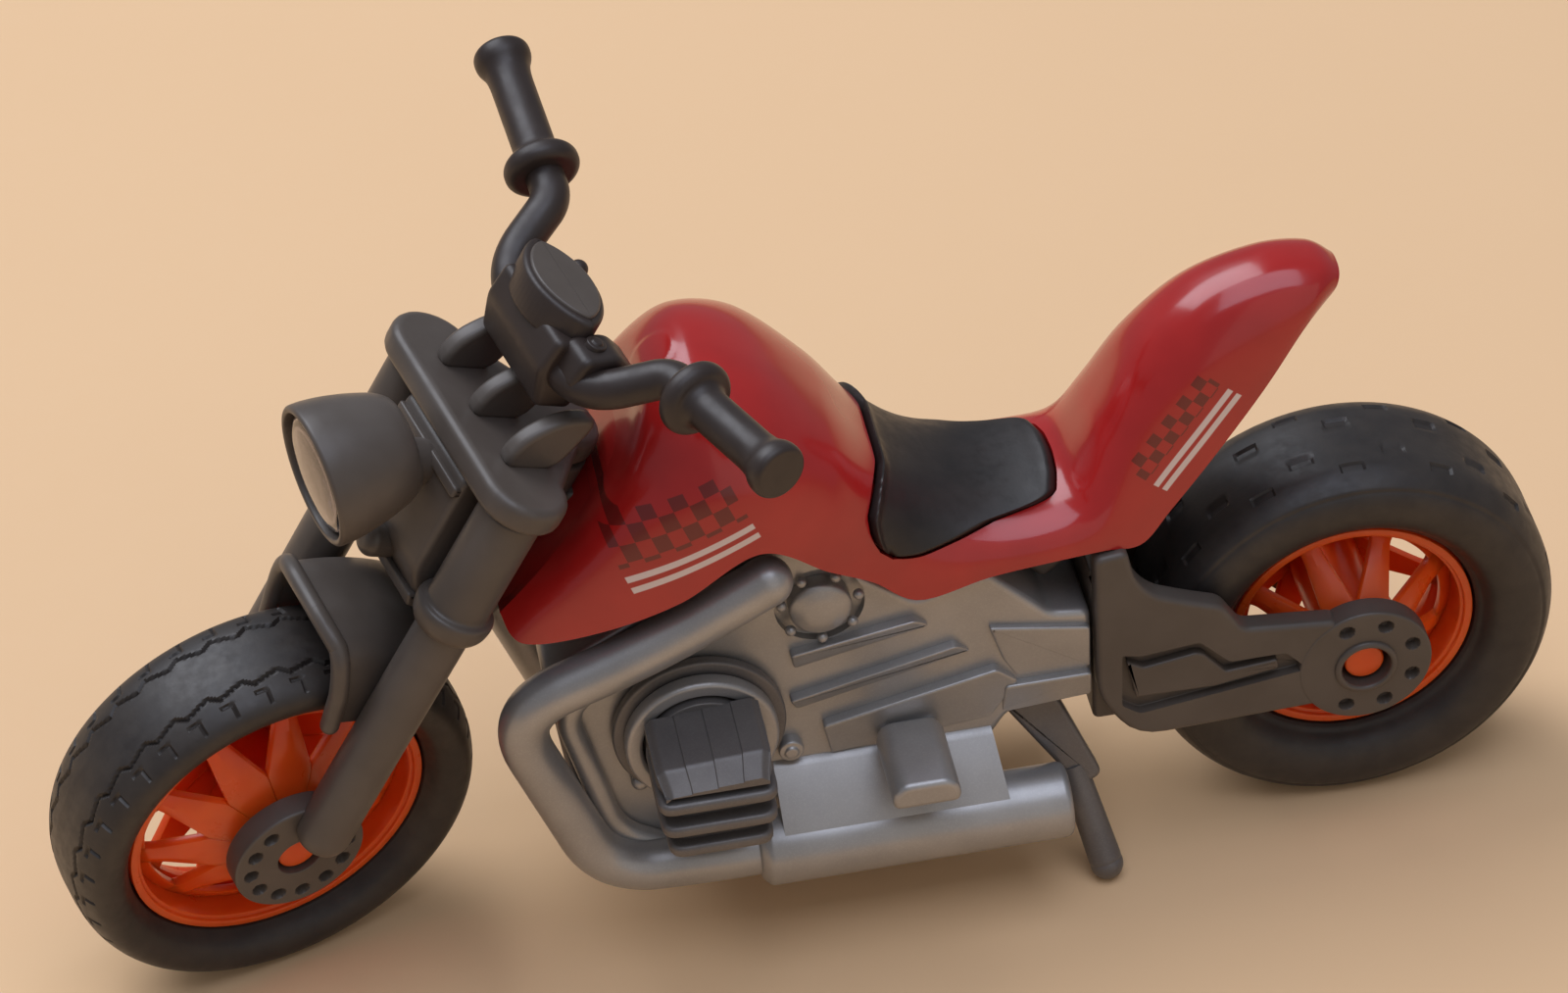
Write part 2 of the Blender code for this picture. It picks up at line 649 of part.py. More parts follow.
def headlight(fork):
    """Add the box behind the lamp, and the lamp bowl, reflector and lens."""
    box_half = LEG_Y - SLEEVE_RADIUS - GAP
    box_back = HEAD_RADIUS + GAP * 2
    box_front = box_back + NACELLE_DEPTH
    low = BRIDGE_TOP + GAP
    high = CROWN_Z - GAP
    outline = [
        (box_back, low),
        (box_front - NACELLE_DEPTH * 0.2, low),
        (box_front, low + NACELLE_DEPTH * 0.5),
        (box_front, high),
        (box_back, high),
    ]
    nacelle = slab("headlight_nacelle", outline, -box_half, box_half, fork, DARK)
    soften(nacelle, EDGE)

    facing = Matrix.Rotation(math.pi / 2 + RAKE, 4, "Y")
    lamp_z = CROWN_Z - LAMP_BELOW_CROWN
    lamp = empty("headlight", fork, Matrix.Translation((LAMP_AHEAD, 0.0, lamp_z)) @ facing)
    rim = LAMP_RADIUS
    wall = LAMP_WALL
    bowl = [
        (0.0, wall - LAMP_DEPTH),
        (rim * 0.45, wall * 1.4 - LAMP_DEPTH),
        (rim * 0.72, -LAMP_DEPTH * 0.55),
        (rim - 2 * wall, -LAMP_DEPTH * 0.22),
        (rim - wall, -LAMP_DEPTH * 0.22),
        (rim - wall, 0.0),
        (rim, 0.0),
        (rim, -LAMP_DEPTH * 0.2),
        (rim - wall * 0.5, -LAMP_DEPTH * 0.25),
        (rim * 0.9, -LAMP_DEPTH * 0.6),
        (rim * 0.62, -LAMP_DEPTH * 0.95),
        (rim * 0.42, -LAMP_DEPTH * 1.08),
        (0.0, -LAMP_DEPTH * 1.08),
    ]
    shell = turned("headlight_shell", bowl, lamp, DARK)
    reach = 1.06 * LAMP_DEPTH
    stalk_end = LAMP_AHEAD - reach * math.cos(RAKE)
    stalk_z = lamp_z + reach * math.sin(RAKE) - STALK_RADIUS
    stalk = rod(
        "headlight_stalk",
        (box_front + GAP, 0.0, stalk_z),
        (stalk_end, 0.0, stalk_z),
        STALK_RADIUS,
        fork,
    )
    combine(shell, stalk, "UNION")
    dish = [
        (0.0, wall * 1.7 + GAP - LAMP_DEPTH),
        (rim * 0.40, wall * 2.3 + GAP - LAMP_DEPTH),
        (rim * 0.62, GAP - LAMP_DEPTH * 0.50),
        (rim - 3 * wall, GAP - LAMP_DEPTH * 0.22),
        (rim - 2.6 * wall, GAP - LAMP_DEPTH * 0.22),
        (rim * 0.68, GAP - LAMP_DEPTH * 0.53),
        (rim * 0.42, wall * 1.4 + GAP - LAMP_DEPTH),
        (0.0, wall + GAP - LAMP_DEPTH),
    ]
    turned("headlight_reflector", dish, lamp, BRIGHT)
    glass = rim - wall - GAP
    dome = [
        (0.0, wall * 1.8),
        (glass * 0.5, wall * 1.3),
        (glass * 0.85, wall * 0.45),
        (glass, -wall * 0.45),
        (glass, -LAMP_DEPTH * 0.22 + 2 * GAP),
        (glass * 0.9, -LAMP_DEPTH * 0.22 + 2 * GAP),
        (glass * 0.8, -wall * 0.65),
        (0.0, wall * 0.65),
    ]
    turned("headlight_lens", dome, lamp, CLEAR)


def grip_profile(length):
    """Return the turned profile of a grip with a flange, an end knob and a blind bore."""
    bore = SPIGOT_RADIUS + GAP
    return [
        (0.0, length),
        (GRIP_KNOB_RADIUS - EDGE, length),
        (GRIP_KNOB_RADIUS, length - EDGE),
        (GRIP_KNOB_RADIUS, length - 3 * EDGE),
        (GRIP_RADIUS, length - 5 * EDGE),
        (GRIP_RADIUS, GRIP_LIP + EDGE),
        (GRIP_FLANGE_RADIUS - EDGE, GRIP_LIP),
        (GRIP_FLANGE_RADIUS, GRIP_LIP - EDGE),
        (GRIP_FLANGE_RADIUS, EDGE),
        (GRIP_FLANGE_RADIUS - EDGE, 0.0),
        (bore, 0.0),
        (bore, length * 0.75),
        (0.0, length * 0.75),
    ]


def handlebar(fork):
    """Add the bent bar, its grips and the instrument pod on top of it."""
    middle_x = LEG_AHEAD - BAR_BEHIND_LEGS
    grip_start = Vector((GRIP_AHEAD, LEG_Y + GRIP_OUT, BAR_Z + GRIP_RISE))
    along = Vector((-GRIP_SWEEP, GRIP_LENGTH, GRIP_LIFT)).normalized()
    pod_half = POD_FOOT_RADIUS * POD_STRETCH
    socket = grip_start - along * (1.5 * GRIP_LIP)
    elbow = Vector((ELBOW_AHEAD, socket.y, socket.z))
    half = [
        Vector((middle_x, pod_half, BAR_Z)),
        Vector((middle_x, BAR_BEND_Y, BAR_Z + GAP)),
        elbow,
    ]
    bend = rounded_path(half, 2 * BAR_RADIUS)
    mirrored = [Vector((p.x, -p.y, p.z)) for p in reversed(bend)]
    bar = bent_tube("handlebar", mirrored + bend, BAR_RADIUS, fork, BROWN)

    reach = 1.5 * GRIP_LIP - 2 * GAP
    end = [
        (0.0, -BAR_RADIUS),
        (BAR_RADIUS * 0.7, -BAR_RADIUS * 0.7),
        (BAR_RADIUS, 0.0),
        (BAR_RADIUS, reach),
        (SPIGOT_RADIUS, reach),
        (SPIGOT_RADIUS, reach + GRIP_LENGTH * 0.7),
        (0.0, reach + GRIP_LENGTH * 0.7),
    ]
    for side in (1, -1):
        length = GRIP_LENGTH if side > 0 else GRIP_LENGTH + THROTTLE_EXTRA
        grip = turned(side_name("grip", side), grip_profile(length), fork, BROWN, steps=10)
        start = Vector((grip_start.x, side * grip_start.y, grip_start.z))
        axis = Vector((along.x, side * along.y, along.z))
        turn = Vector((0.0, 0.0, 1.0)).rotation_difference(axis).to_matrix().to_4x4()
        grip.matrix_local = Matrix.Translation(start) @ turn
        spigot = turned(side_name("handlebar_spigot", side), end, fork, steps=10)
        spigot.matrix_local = Matrix.Translation((socket.x, side * socket.y, socket.z)) @ turn
        place = (elbow.x, side * elbow.y, elbow.z)
        knuckle = ball(side_name("handlebar_elbow", side), place, BAR_RADIUS * 1.12, fork)
        combine(bar, knuckle, "UNION")
        combine(bar, spigot, "UNION")

    inside = POD_RADIUS - DIAL_DEPTH * 0.7
    case = [
        (0.0, POD_HEIGHT - DIAL_DEPTH),
        (inside, POD_HEIGHT - DIAL_DEPTH),
        (inside, POD_HEIGHT),
        (POD_RADIUS, POD_HEIGHT),
        (POD_RADIUS, POD_HEIGHT * 0.6),
        (POD_FOOT_RADIUS, POD_HEIGHT * 0.15),
        (POD_FOOT_RADIUS, 0.0),
        (0.0, 0.0),
    ]
    wide = Matrix.Diagonal((1.0, POD_STRETCH, 1.0, 1.0))
    pod = turned("instrument_pod", case, fork, BROWN)
    pod.matrix_local = Matrix.Translation((middle_x, 0.0, POD_Z)) @ wide
    dial_radius = inside - GAP
    dial = [
        (0.0, DIAL_DEPTH * 0.8),
        (dial_radius * 0.8, DIAL_DEPTH * 0.6),
        (dial_radius, DIAL_DEPTH * 0.3),
        (dial_radius, 0.0),
        (0.0, 0.0),
    ]
    face = turned("instrument_face", dial, fork, DARK)
    face.matrix_local = Matrix.Translation((middle_x, 0.0, POD_Z + POD_HEIGHT - DIAL_DEPTH + GAP)) @ wide


def steering_head(axis, bike):
    """Add the head tube and the gusset that ties it to the engine."""
    low = BRIDGE_TOP + GAP
    high = CROWN_Z - GAP
    profile = [
        (STEM_RADIUS + GAP, high),
        (HEAD_RADIUS, high),
        (HEAD_RADIUS, low),
        (STEM_RADIUS + GAP, low),
    ]
    head = turned("steering_head", profile, axis, DARK, closed=True)
    middle = STEM_RADIUS + GAP + HEAD_WALL * 0.5
    outline = [
        on_fork(-middle, high - HEAD_LENGTH * 0.2),
        on_fork(-middle, low + HEAD_LENGTH * 0.06),
        at(0.981, 0.650),
        at(0.789, 0.751),
        at(0.759, 0.869),
    ]
    gusset = slab("steering_head_gusset", outline, -GUSSET_HALF, GUSSET_HALF, bike)
    combine(head, gusset, "UNION")


def engine_half(side, bike):
    """Add one half of the engine block, with its raised bars, rear pocket and silencer ledge."""
    name = side_name("engine_half", side)
    near = side * GAP / 2
    far = side * ENGINE_HALF
    outline = [
        at(0.963, 0.295),
        at(1.000, 0.626),
        at(0.602, 0.838),
        at(0.546, 0.834),
        at(0.481, 0.782),
        at(0.398, 0.721),
        at(0.319, 0.660),
        at(0.185, 0.695),
        at(0.074, 0.584),
        at(0.000, 0.574),
        at(0.000, 0.379),
        at(0.157, 0.372),
        at(0.194, 0.320),
        at(0.546, 0.302),
        at(0.620, 0.243),
        at(0.861, 0.209),
    ]
    half = slab(name, outline, near, far, bike, SILVER)
    soften(half, EDGE * 1.4)
    roof = TANK_TOP - BODY_WALL - 4 * GAP
    spine = [
        at(0.787, 0.695),
        (at(0.676, 1.0)[0], roof),
        (at(0.583, 1.0)[0], roof - 4 * GAP),
        at(0.380, 0.800),
        at(0.193, 0.735),
        at(0.193, 0.643),
    ]
    combine(half, slab(f"{name}_spine", spine, near, side * SPINE_HALF, bike), "UNION")
    proud = side * (ENGINE_HALF + BAR_PROUD)
    deep = side * (ENGINE_HALF - BAR_PROUD)
    bars = (
        (at(0.548, 0.565), at(0.302, 0.607)),
        (at(0.552, 0.478), at(0.233, 0.535)),
        (at(0.496, 0.410), at(0.178, 0.469)),
    )
    for index, ((x0, z0), (x1, z1)) in enumerate(bars):
        edge = [(x0, z0 - BAR_HALF), (x0, z0 + BAR_HALF), (x1, z1 + BAR_HALF), (x1, z1 - BAR_HALF)]
        bar = slab(f"{name}_bar_{index}", edge, deep, proud, bike)
        soften(bar, EDGE)
        combine(half, bar, "UNION")
    bolt_x, bolt_z = at(0.562, 0.388)
    bolt = rod(f"{name}_bolt", (bolt_x, deep, bolt_z), (bolt_x, proud, bolt_z), BOLT_RADIUS, bike, sides=8)
    combine(half, bolt, "UNION")
    shelf = SILENCER_Z + SILENCER_RADIUS + GAP
    ledge = block(
        f"{name}_ledge",
        (at(0.194, 0.0)[0], deep, shelf),
        (at(0.556, 0.0)[0], side * SILENCER_Y, shelf + 1.5 * BAR_PROUD),
        bike,
    )
    combine(half, ledge, "UNION")
    low_x, low_z = at(0.022, 0.438)
    high_x, high_z = at(0.157, 0.516)
    pocket = block(f"{name}_pocket", (low_x, deep, low_z), (high_x, proud, high_z), bike)
    combine(half, pocket, "DIFFERENCE")


def boxer_cylinder(side, bike):
    """Add the flange, collar and finned head of one cylinder."""
    x, z = at(0.730, 0.473)
    face = ENGINE_HALF + GAP
    flange_end = face + FLANGE_DEPTH
    collar_start = flange_end + GAP
    collar_end = collar_start + COLLAR_DEPTH
    head_start = collar_end + GAP
    flange = rod(
        side_name("cylinder_flange", side),
        (x, side * face, z),
        (x, side * flange_end, z),
        FLANGE_RADIUS,
        bike,
        GREY,
        sides=FLANGE_STEPS,
    )
    soften(flange, GAP)
    bore = COLLAR_RADIUS - COLLAR_WALL
    ring = [
        (bore, collar_end),
        (COLLAR_RADIUS - EDGE, collar_end),
        (COLLAR_RADIUS, collar_end - EDGE),
        (COLLAR_RADIUS, collar_start),
        (bore, collar_start),
    ]
    collar = turned(side_name("cylinder_collar", side), ring, bike, SILVER, closed=True, steps=FLANGE_STEPS)
    collar.matrix_local = Matrix.Translation((x, 0.0, z)) @ Matrix.Rotation(-side * math.pi / 2, 4, "X")

    wide, deep, tall = HEAD_SIZE
    name = side_name("cylinder_head", side)
    end = head_start + deep
    core = block(
        name,
        (x - wide * 0.43, side * head_start, z - tall / 2 + GAP),
        (x + wide * 0.43, side * (end - FIN_THICKNESS * 0.5), z + tall / 2 - GAP),
        bike,
        GREY,
    )
    inset = side * (head_start + FIN_THICKNESS * 0.5)
    neck = rod(f"{name}_neck", (x, side * collar_start, z), (x, inset, z), bore - GAP, bike)
    combine(core, neck, "UNION")
    pitch = (tall - FIN_THICKNESS) / (FIN_COUNT - 1)
    for index in range(FIN_COUNT):
        low = z - tall / 2 + index * pitch
        fin = block(
            f"{name}_fin_{index}",
            (x - wide / 2, side * (head_start + GAP), low),
            (x + wide / 2, side * end, low + FIN_THICKNESS),
            bike,
        )
        combine(core, fin, "UNION")


def exhaust(side, bike):
    """Add the looped header pipe and the silencer below the engine."""
    y = side * (ENGINE_HALF + GAP + PIPE_RADIUS)
    front = SILENCER_FRONT + GAP
    corners = [
        beside(0.556, y, 0.796),
        beside(0.806, y, 0.686),
        beside(1.078, y, 0.601),
        beside(0.944, y, 0.243),
        beside(0.861, y, 0.198),
        (front + PIPE_RADIUS, side * SILENCER_Y, SILENCER_Z),
        (front, side * SILENCER_Y, SILENCER_Z),
    ]
    path = rounded_path(corners, 2 * PIPE_RADIUS)
    bent_tube(side_name("header_pipe", side), path, PIPE_RADIUS, bike, SILVER)
    mouth = SILENCER_RADIUS * 0.6
    profile = [
        (0.0, SILENCER_FRONT),
        (SILENCER_RADIUS - 2 * EDGE, SILENCER_FRONT),
        (SILENCER_RADIUS, SILENCER_FRONT - 2 * EDGE),
        (SILENCER_RADIUS, SILENCER_BACK + EDGE),
        (SILENCER_RADIUS - EDGE, SILENCER_BACK),
        (mouth, SILENCER_BACK),
        (mouth, SILENCER_BACK + mouth),
        (0.0, SILENCER_BACK + mouth),
    ]
    silencer = turned(side_name("silencer", side), profile, bike, SILVER)
    turn = Matrix.Rotation(math.pi / 2, 4, "Y")
    silencer.matrix_local = Matrix.Translation((0.0, side * SILENCER_Y, SILENCER_Z)) @ turn


def side_trim(side, bike):
    """Add the domed round cover and the footpeg of one side."""
    x, z = at(0.493, 0.688)
    face = ENGINE_HALF + GAP
    name = side_name("clutch_cover", side)
    dome = [
        (0.0, face + COVER_PROUD),
        (COVER_RADIUS * 0.4, face + COVER_PROUD * 0.9),
        (COVER_RADIUS * 0.72, face + COVER_PROUD * 0.5),
        (COVER_RADIUS, face + COVER_PROUD * 0.4),
        (COVER_RADIUS, face),
        (0.0, face),
    ]
    cover = turned(name, dome, bike, SILVER, steps=12)
    cover.matrix_local = Matrix.Translation((x, 0.0, z)) @ Matrix.Rotation(-side * math.pi / 2, 4, "X")
    low = side * (face + COVER_PROUD * 0.2)
    high = side * (face + COVER_PROUD * 0.75)
    studs = rod_ring(
        f"{name}_studs", (x, z), COVER_RADIUS * 0.82, COVER_STUDS, COVER_RADIUS * 0.13, low, high, bike)
    combine(cover, studs, "UNION")

    wide, deep, thick = PEG_SIZE
    peg_x, top = at(0.348, 0.4136)
    root_end = ENGINE_HALF + BAR_PROUD + GAP
    outline = [
        (peg_x - wide / 2, top - thick),
        (peg_x + wide / 2, top - thick),
        (peg_x + wide / 2, top - thick * 0.45),
        (peg_x + wide * 0.40, top - thick * 0.15),
        (peg_x + wide * 0.25, top),
        (peg_x - wide * 0.25, top),
        (peg_x - wide * 0.40, top - thick * 0.15),
        (peg_x - wide / 2, top - thick * 0.45),
    ]
    name = side_name("footpeg", side)
    peg = slab(name, outline, side * root_end, side * (root_end + deep), bike, SILVER)
    root = block(
        f"{name}_root",
        (peg_x - wide * 0.42, side * face, top - thick + GAP),
        (peg_x + wide * 0.42, side * (root_end + 2 * GAP), top - thick * 0.3),
        bike,
    )
    combine(peg, root, "UNION")


def swing_arm(side, bike):
    """Add one rear arm with its pocket and drilled disc."""
    name = side_name("swing_arm", side)
    axle = REAR_AXLE
    near = REAR_DISC_Y
    far = near + ARM_THICKNESS
    z = REAR_TYRE_RADIUS
    outline = [
        on_arm(1.000, 0.278),
        on_arm(1.000, 0.695),
        on_arm(0.853, 0.695),
        on_arm(0.706, 0.574),
        on_arm(0.430, 0.504),
        on_arm(0.320, 0.478),
        (DISC_RADIUS * 0.3, z + DISC_RADIUS * 0.92),
        (DISC_RADIUS * 0.3, z - DISC_RADIUS * 0.76),
        on_arm(0.779, 0.257),
    ]
    arm = slab(name, outline, side * near, side * far, bike, DARK)
    soften(arm, EDGE)
    combine(arm, drilled_disc(f"{name}_disc", near, side, axle), "UNION")
    pierce_disc(arm, near, side, axle)
    pocket = [
        on_arm(0.897, 0.466),
        on_arm(0.614, 0.462),
        on_arm(0.515, 0.410),
        (DISC_RADIUS * 1.3, z + DISC_RADIUS * 0.32),
        (DISC_RADIUS * 1.3, z - DISC_RADIUS * 0.21),
        on_arm(0.897, 0.323),
    ]
    recess = slab(f"{name}_pocket", pocket, side * (far - ARM_POCKET_DEPTH), side * (far + GAP), bike)
    combine(arm, recess, "DIFFERENCE")
    rib = [
        on_arm(0.875, 0.344),
        on_arm(0.875, 0.361),
        on_arm(0.596, 0.438),
        on_arm(0.559, 0.424),
    ]
    ridge = slab(f"{name}_rib", rib, side * (far - ARM_POCKET_DEPTH - GAP), side * (far - GAP), bike)
    combine(arm, ridge, "UNION")


def rear_frame(bike):
    """Add the bridge between the arms and the spar that carries the tail."""
    inner = REAR_DISC_Y - GAP
    back = ARM_X - ARM_BRIDGE_DEPTH
    outline = [
        (back, 0.295 * CROWN_HEIGHT),
        on_arm(1.0, 0.295),
        on_arm(1.0, 0.643),
        (back, 0.521 * CROWN_HEIGHT),
    ]
    bridge = slab("swing_bridge", outline, -inner, inner, bike, DARK)
    soften(bridge, EDGE)
    spar = [
        at(0.000, 0.652),
        at(0.069, 0.594),
        at(0.170, 0.702),
        at(0.139, 0.720),
        at(-0.037, 0.732),
        at(-0.204, 0.965),
        at(-0.250, 0.930),
        at(-0.102, 0.704),
    ]
    tail_spar = slab("rear_subframe", spar, -1.25 * SPINE_HALF, 1.25 * SPINE_HALF, bike, DARK)
    soften(tail_spar, EDGE)


@dataclass(frozen=True)
class Section:
    """One cross-section of the body shell: its crown, its lower edge and its shape."""

    top: tuple
    low: tuple
    half: float
    wall: float = BODY_WALL
    fullness: float = 2.5

    def ring(self, grow, drop=0.0, steps=5):
        """Return the closed ring, grown outwards, with its lower edge let down."""
        points = []
        top_x, top_z = self.top
        low_x, low_z = self.low
        half = self.half + grow
        for index in range(2 * steps + 1):
            angle = math.pi * index / (2 * steps)
            cosine = math.cos(angle)
            across = math.copysign(abs(cosine) ** (2 / self.fullness), cosine)
            up = math.sin(angle) ** (2 / self.fullness)
            x = low_x + (top_x - low_x) * up
            z = low_z + (top_z + grow - low_z) * up
            points.append((x, half * across, z))
        below = drop + GAP
        foot_x = low_x - below * (top_x - low_x) / (top_z + grow - low_z)
        points.append((foot_x, -half, low_z - below))
        points.append((foot_x, half, low_z - below))
        return points


def body_sections():
    """Return the sections of the tank, seat and tail from front to back."""
    deep = BODY_WALL + SEAT_DEPTH + GAP
    nose_top = on_fork(-HEAD_RADIUS - 2 * GAP, CROWN_Z + 3 * GAP)
    nose_low = on_fork(-3 * GAP, BRIDGE_TOP + 5 * GAP)
    brow = on_fork(-HEAD_RADIUS - 2 * GAP, CROWN_TOP + TANK_ABOVE_CROWN * 0.43)
    return [
        Section(nose_top, nose_low, TANK_HALF * 0.582),
        Section(brow, at(1.028, 0.729), TANK_HALF * 0.753),
        Section(TANK_SHOULDER, at(0.898, 0.759), TANK_HALF * 0.904),
        Section((at(0.670, 1.0)[0], TANK_TOP), at(0.750, 0.817), TANK_HALF),
        Section((at(0.563, 1.0)[0], TANK_TOP - TANK_RISE), at(0.602, 0.890), TANK_HALF * 0.979),
        Section((at(0.448, 1.0)[0], TANK_TOP - 3.6 * TANK_RISE), at(0.481, 0.806), TANK_HALF * 0.877),
        Section(at(0.370, 0.921), at(0.398, 0.744), TANK_HALF * 0.774, deep, 2.6),
        Section(at(0.287, 0.848), at(0.315, 0.681), TANK_HALF * 0.740, deep, 2.6),
        Section(at(0.185, 0.799), at(0.185, 0.702), TANK_HALF * 0.719, deep, 2.6),
        Section(at(0.083, 0.791), at(0.065, 0.709), TANK_HALF * 0.699, deep, 2.6),
        Section(at(0.015, 0.813), at(-0.028, 0.709), TANK_HALF * 0.671, deep, 2.6),
        Section(at(-0.041, 0.904), at(-0.098, 0.702), TANK_HALF * 0.630),
        Section(at(-0.120, 1.018), at(-0.157, 0.754), TANK_HALF * 0.568),
        Section(at(-0.231, 1.109), at(-0.241, 0.845), TANK_HALF * 0.514),
        Section(at(-0.361, 1.147), at(-0.337, 0.956), TANK_HALF * 0.438),
        Section(at(-0.454, 1.140), at(-0.417, 1.053), TANK_HALF * 0.342),
        Section(at(-0.496, 1.116), at(-0.478, 1.088), TANK_HALF * 0.192),
    ]


def eased(before, first, second, after, share):
    """Return a value on the smooth curve through four neighbours."""
    square = share * share
    cube = square * share
    return 0.5 * (2 * first + (second - before) * share
                  + (2 * before - 5 * first + 4 * second - after) * square
                  + (3 * first - before - 3 * second + after) * cube)


def eased_sections(sections, between=2):
    """Return the sections with smooth ones set between each pair."""
    fine = []
    last = len(sections) - 1
    for index in range(last):
        places = (max(index - 1, 0), index, index + 1, min(index + 2, last))
        window = [sections[place] for place in places]
        for step in range(between):
            share = step / between
            fine.append(Section(
                tuple(eased(*(s.top[axis] for s in window), share) for axis in (0, 1)),
                tuple(eased(*(s.low[axis] for s in window), share) for axis in (0, 1)),
                eased(*(s.half for s in window), share),
                eased(*(s.wall for s in window), share),
                eased(*(s.fullness for s in window), share),
            ))
    fine.append(sections[last])
    return fine


def body_and_seat(axis, bike):
    """Add the red shell, hollow underneath, and the black seat set into it."""
    coarse = body_sections()
    sections = eased_sections(coarse)
    shell = loft("body_shell", [section.ring(0.0) for section in sections], bike, RED)
    hollow = loft(
        "body_shell_hollow", [section.ring(-section.wall, 5 * BODY_WALL) for section in coarse[1:-2]], bike)
    combine(shell, hollow, "DIFFERENCE")
    clear = rod(
        "body_shell_head_way",
        (0.0, 0.0, BRIDGE_Z - HEAD_RADIUS),
        (0.0, 0.0, CROWN_TOP + 2 * HEAD_RADIUS),
        HEAD_RADIUS + 2 * GAP,
        axis,
    )
    combine(shell, clear, "DIFFERENCE")
    slot_side = [
        on_fork(0.0, CROWN_Z - HEAD_LENGTH * 0.15),
        on_fork(0.0, BRIDGE_Z - HEAD_LENGTH * 0.25),
        at(0.789, 0.695),
        at(0.759, 0.879),
    ]
    slot_half = GUSSET_HALF + GAP
    combine(shell, slab("body_shell_gusset_way", slot_side, -slot_half, slot_half, bike), "DIFFERENCE")

    side = [
        at(0.380, 1.043),
        at(0.393, 0.852),
        at(0.326, 0.769),
        at(0.204, 0.772),
        at(0.093, 0.788),
        at(0.009, 0.797),
        at(-0.037, 1.043),
    ]
    reach = TANK_HALF
    split = at(0.185, 0.0)[0]
    wider = []
    for x, z in side:
        wider.append((x + (GAP if x > split else -GAP), z - GAP))
    bed = slab("seat_bed", wider, -reach, reach, bike)
    saddle = coarse[4:-3]
    floor = [section.ring(-SEAT_DEPTH - GAP, 2 * SEAT_DEPTH) for section in saddle]
    core = loft("seat_bed_core", floor, bike)
    combine(bed, core, "DIFFERENCE")
    combine(shell, bed, "DIFFERENCE")

    seat = loft("seat", [section.ring(SEAT_PROUD) for section in sections], bike, BLACK)
    combine(seat, slab("seat_trim", side, -reach, reach, bike), "INTERSECT")
    under = loft("seat_under", [section.ring(-SEAT_DEPTH, 3 * SEAT_DEPTH) for section in saddle], bike)
    combine(seat, under, "DIFFERENCE")


def kickstand(bike):
    """Add the side stand: a flat blade at its pivot that becomes a round leg."""
    pivot = Vector(beside(0.111, STAND_PIVOT_Y, 0.330))
    frame = empty("kickstand_pivot", bike, Matrix.Translation(pivot))
    foot = Vector((ARM_X, STAND_FOOT_Y, STAND_RADIUS)) - pivot
    knee = Vector(beside(0.013, (STAND_PIVOT_Y + STAND_FOOT_Y) * 0.47, 0.165)) - pivot
    wide = STAND_RADIUS
    blade = [
        (1.75 * wide, 0.9 * wide),
        (-1.65 * wide, 0.9 * wide),
        (-4.0 * wide, -4.9 * wide),
        (-2.5 * wide, -5.5 * wide),
    ]
    stand = slab("kickstand", blade, -0.7 * wide, 0.7 * wide, frame, GREY)
    lean = Matrix.Rotation(math.atan2(knee.y, -knee.z), 4, "X")
    stand.data.transform(lean)
    soften(stand, EDGE)
    leg = rod("kickstand_leg", knee * 0.8, foot, wide * 0.9, frame, sides=12, end_radius=wide)
    combine(stand, leg, "UNION")
    combine(stand, ball("kickstand_foot", foot, wide, frame), "UNION")


BIKE = empty("motorcycle", None, Matrix.Translation((-MIDDLE_X, 0.0, 0.0)))
REAR_AXLE = empty("rear_axle", BIKE, Matrix.Translation((0.0, 0.0, REAR_TYRE_RADIUS)))
REAR_WHEEL = empty("rear_wheel", REAR_AXLE, Matrix.Identity(4))
LEANED = Matrix.Rotation(-RAKE, 4, "Y")
AXIS = empty("steering_axis", BIKE, Matrix.Translation((AXIS_X, 0.0, AXIS_Z)) @ LEANED)
FORK = empty("fork", AXIS, Matrix.Rotation(STEER_AT_REST, 4, "Z"))
FRONT_AXLE = empty("front_axle", FORK, Matrix.Translation((LEG_AHEAD, 0.0, 0.0)))
FRONT_WHEEL = empty("front_wheel", FRONT_AXLE, Matrix.Identity(4))

wheel("front", FRONT_TYRE, FRONT_WINDOWS, FRONT_DISC_Y, FRONT_WHEEL)
wheel("rear", REAR_TYRE, REAR_WINDOWS, REAR_DISC_Y, REAR_WHEEL)
fork_plates(FORK)
front_fender(FRONT_AXLE)
headlight(FORK)
handlebar(FORK)
steering_head(AXIS, BIKE)
for SIDE in (1, -1):
    fork_side(SIDE, FORK, FRONT_AXLE)
    engine_half(SIDE, BIKE)
    boxer_cylinder(SIDE, BIKE)
    exhaust(SIDE, BIKE)
    side_trim(SIDE, BIKE)
    swing_arm(SIDE, BIKE)
rear_frame(BIKE)
body_and_seat(AXIS, BIKE)
kickstand(BIKE)
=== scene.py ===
"""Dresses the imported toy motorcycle: smooth mouldings, print, treads, lamp, and a small studio.

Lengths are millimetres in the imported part's frame and become metres when a mesh is made.
+X is forward, +Y is the rider's left and +Z is up. Fork pieces are drawn in the fork's own frame,
whose z axis is the steering axis and whose x axis points ahead of it.
"""

import logging
import math
from collections.abc import Mapping, Sequence
from dataclasses import dataclass, field
from enum import Enum

import bpy
import numpy as np
from mathutils import Matrix


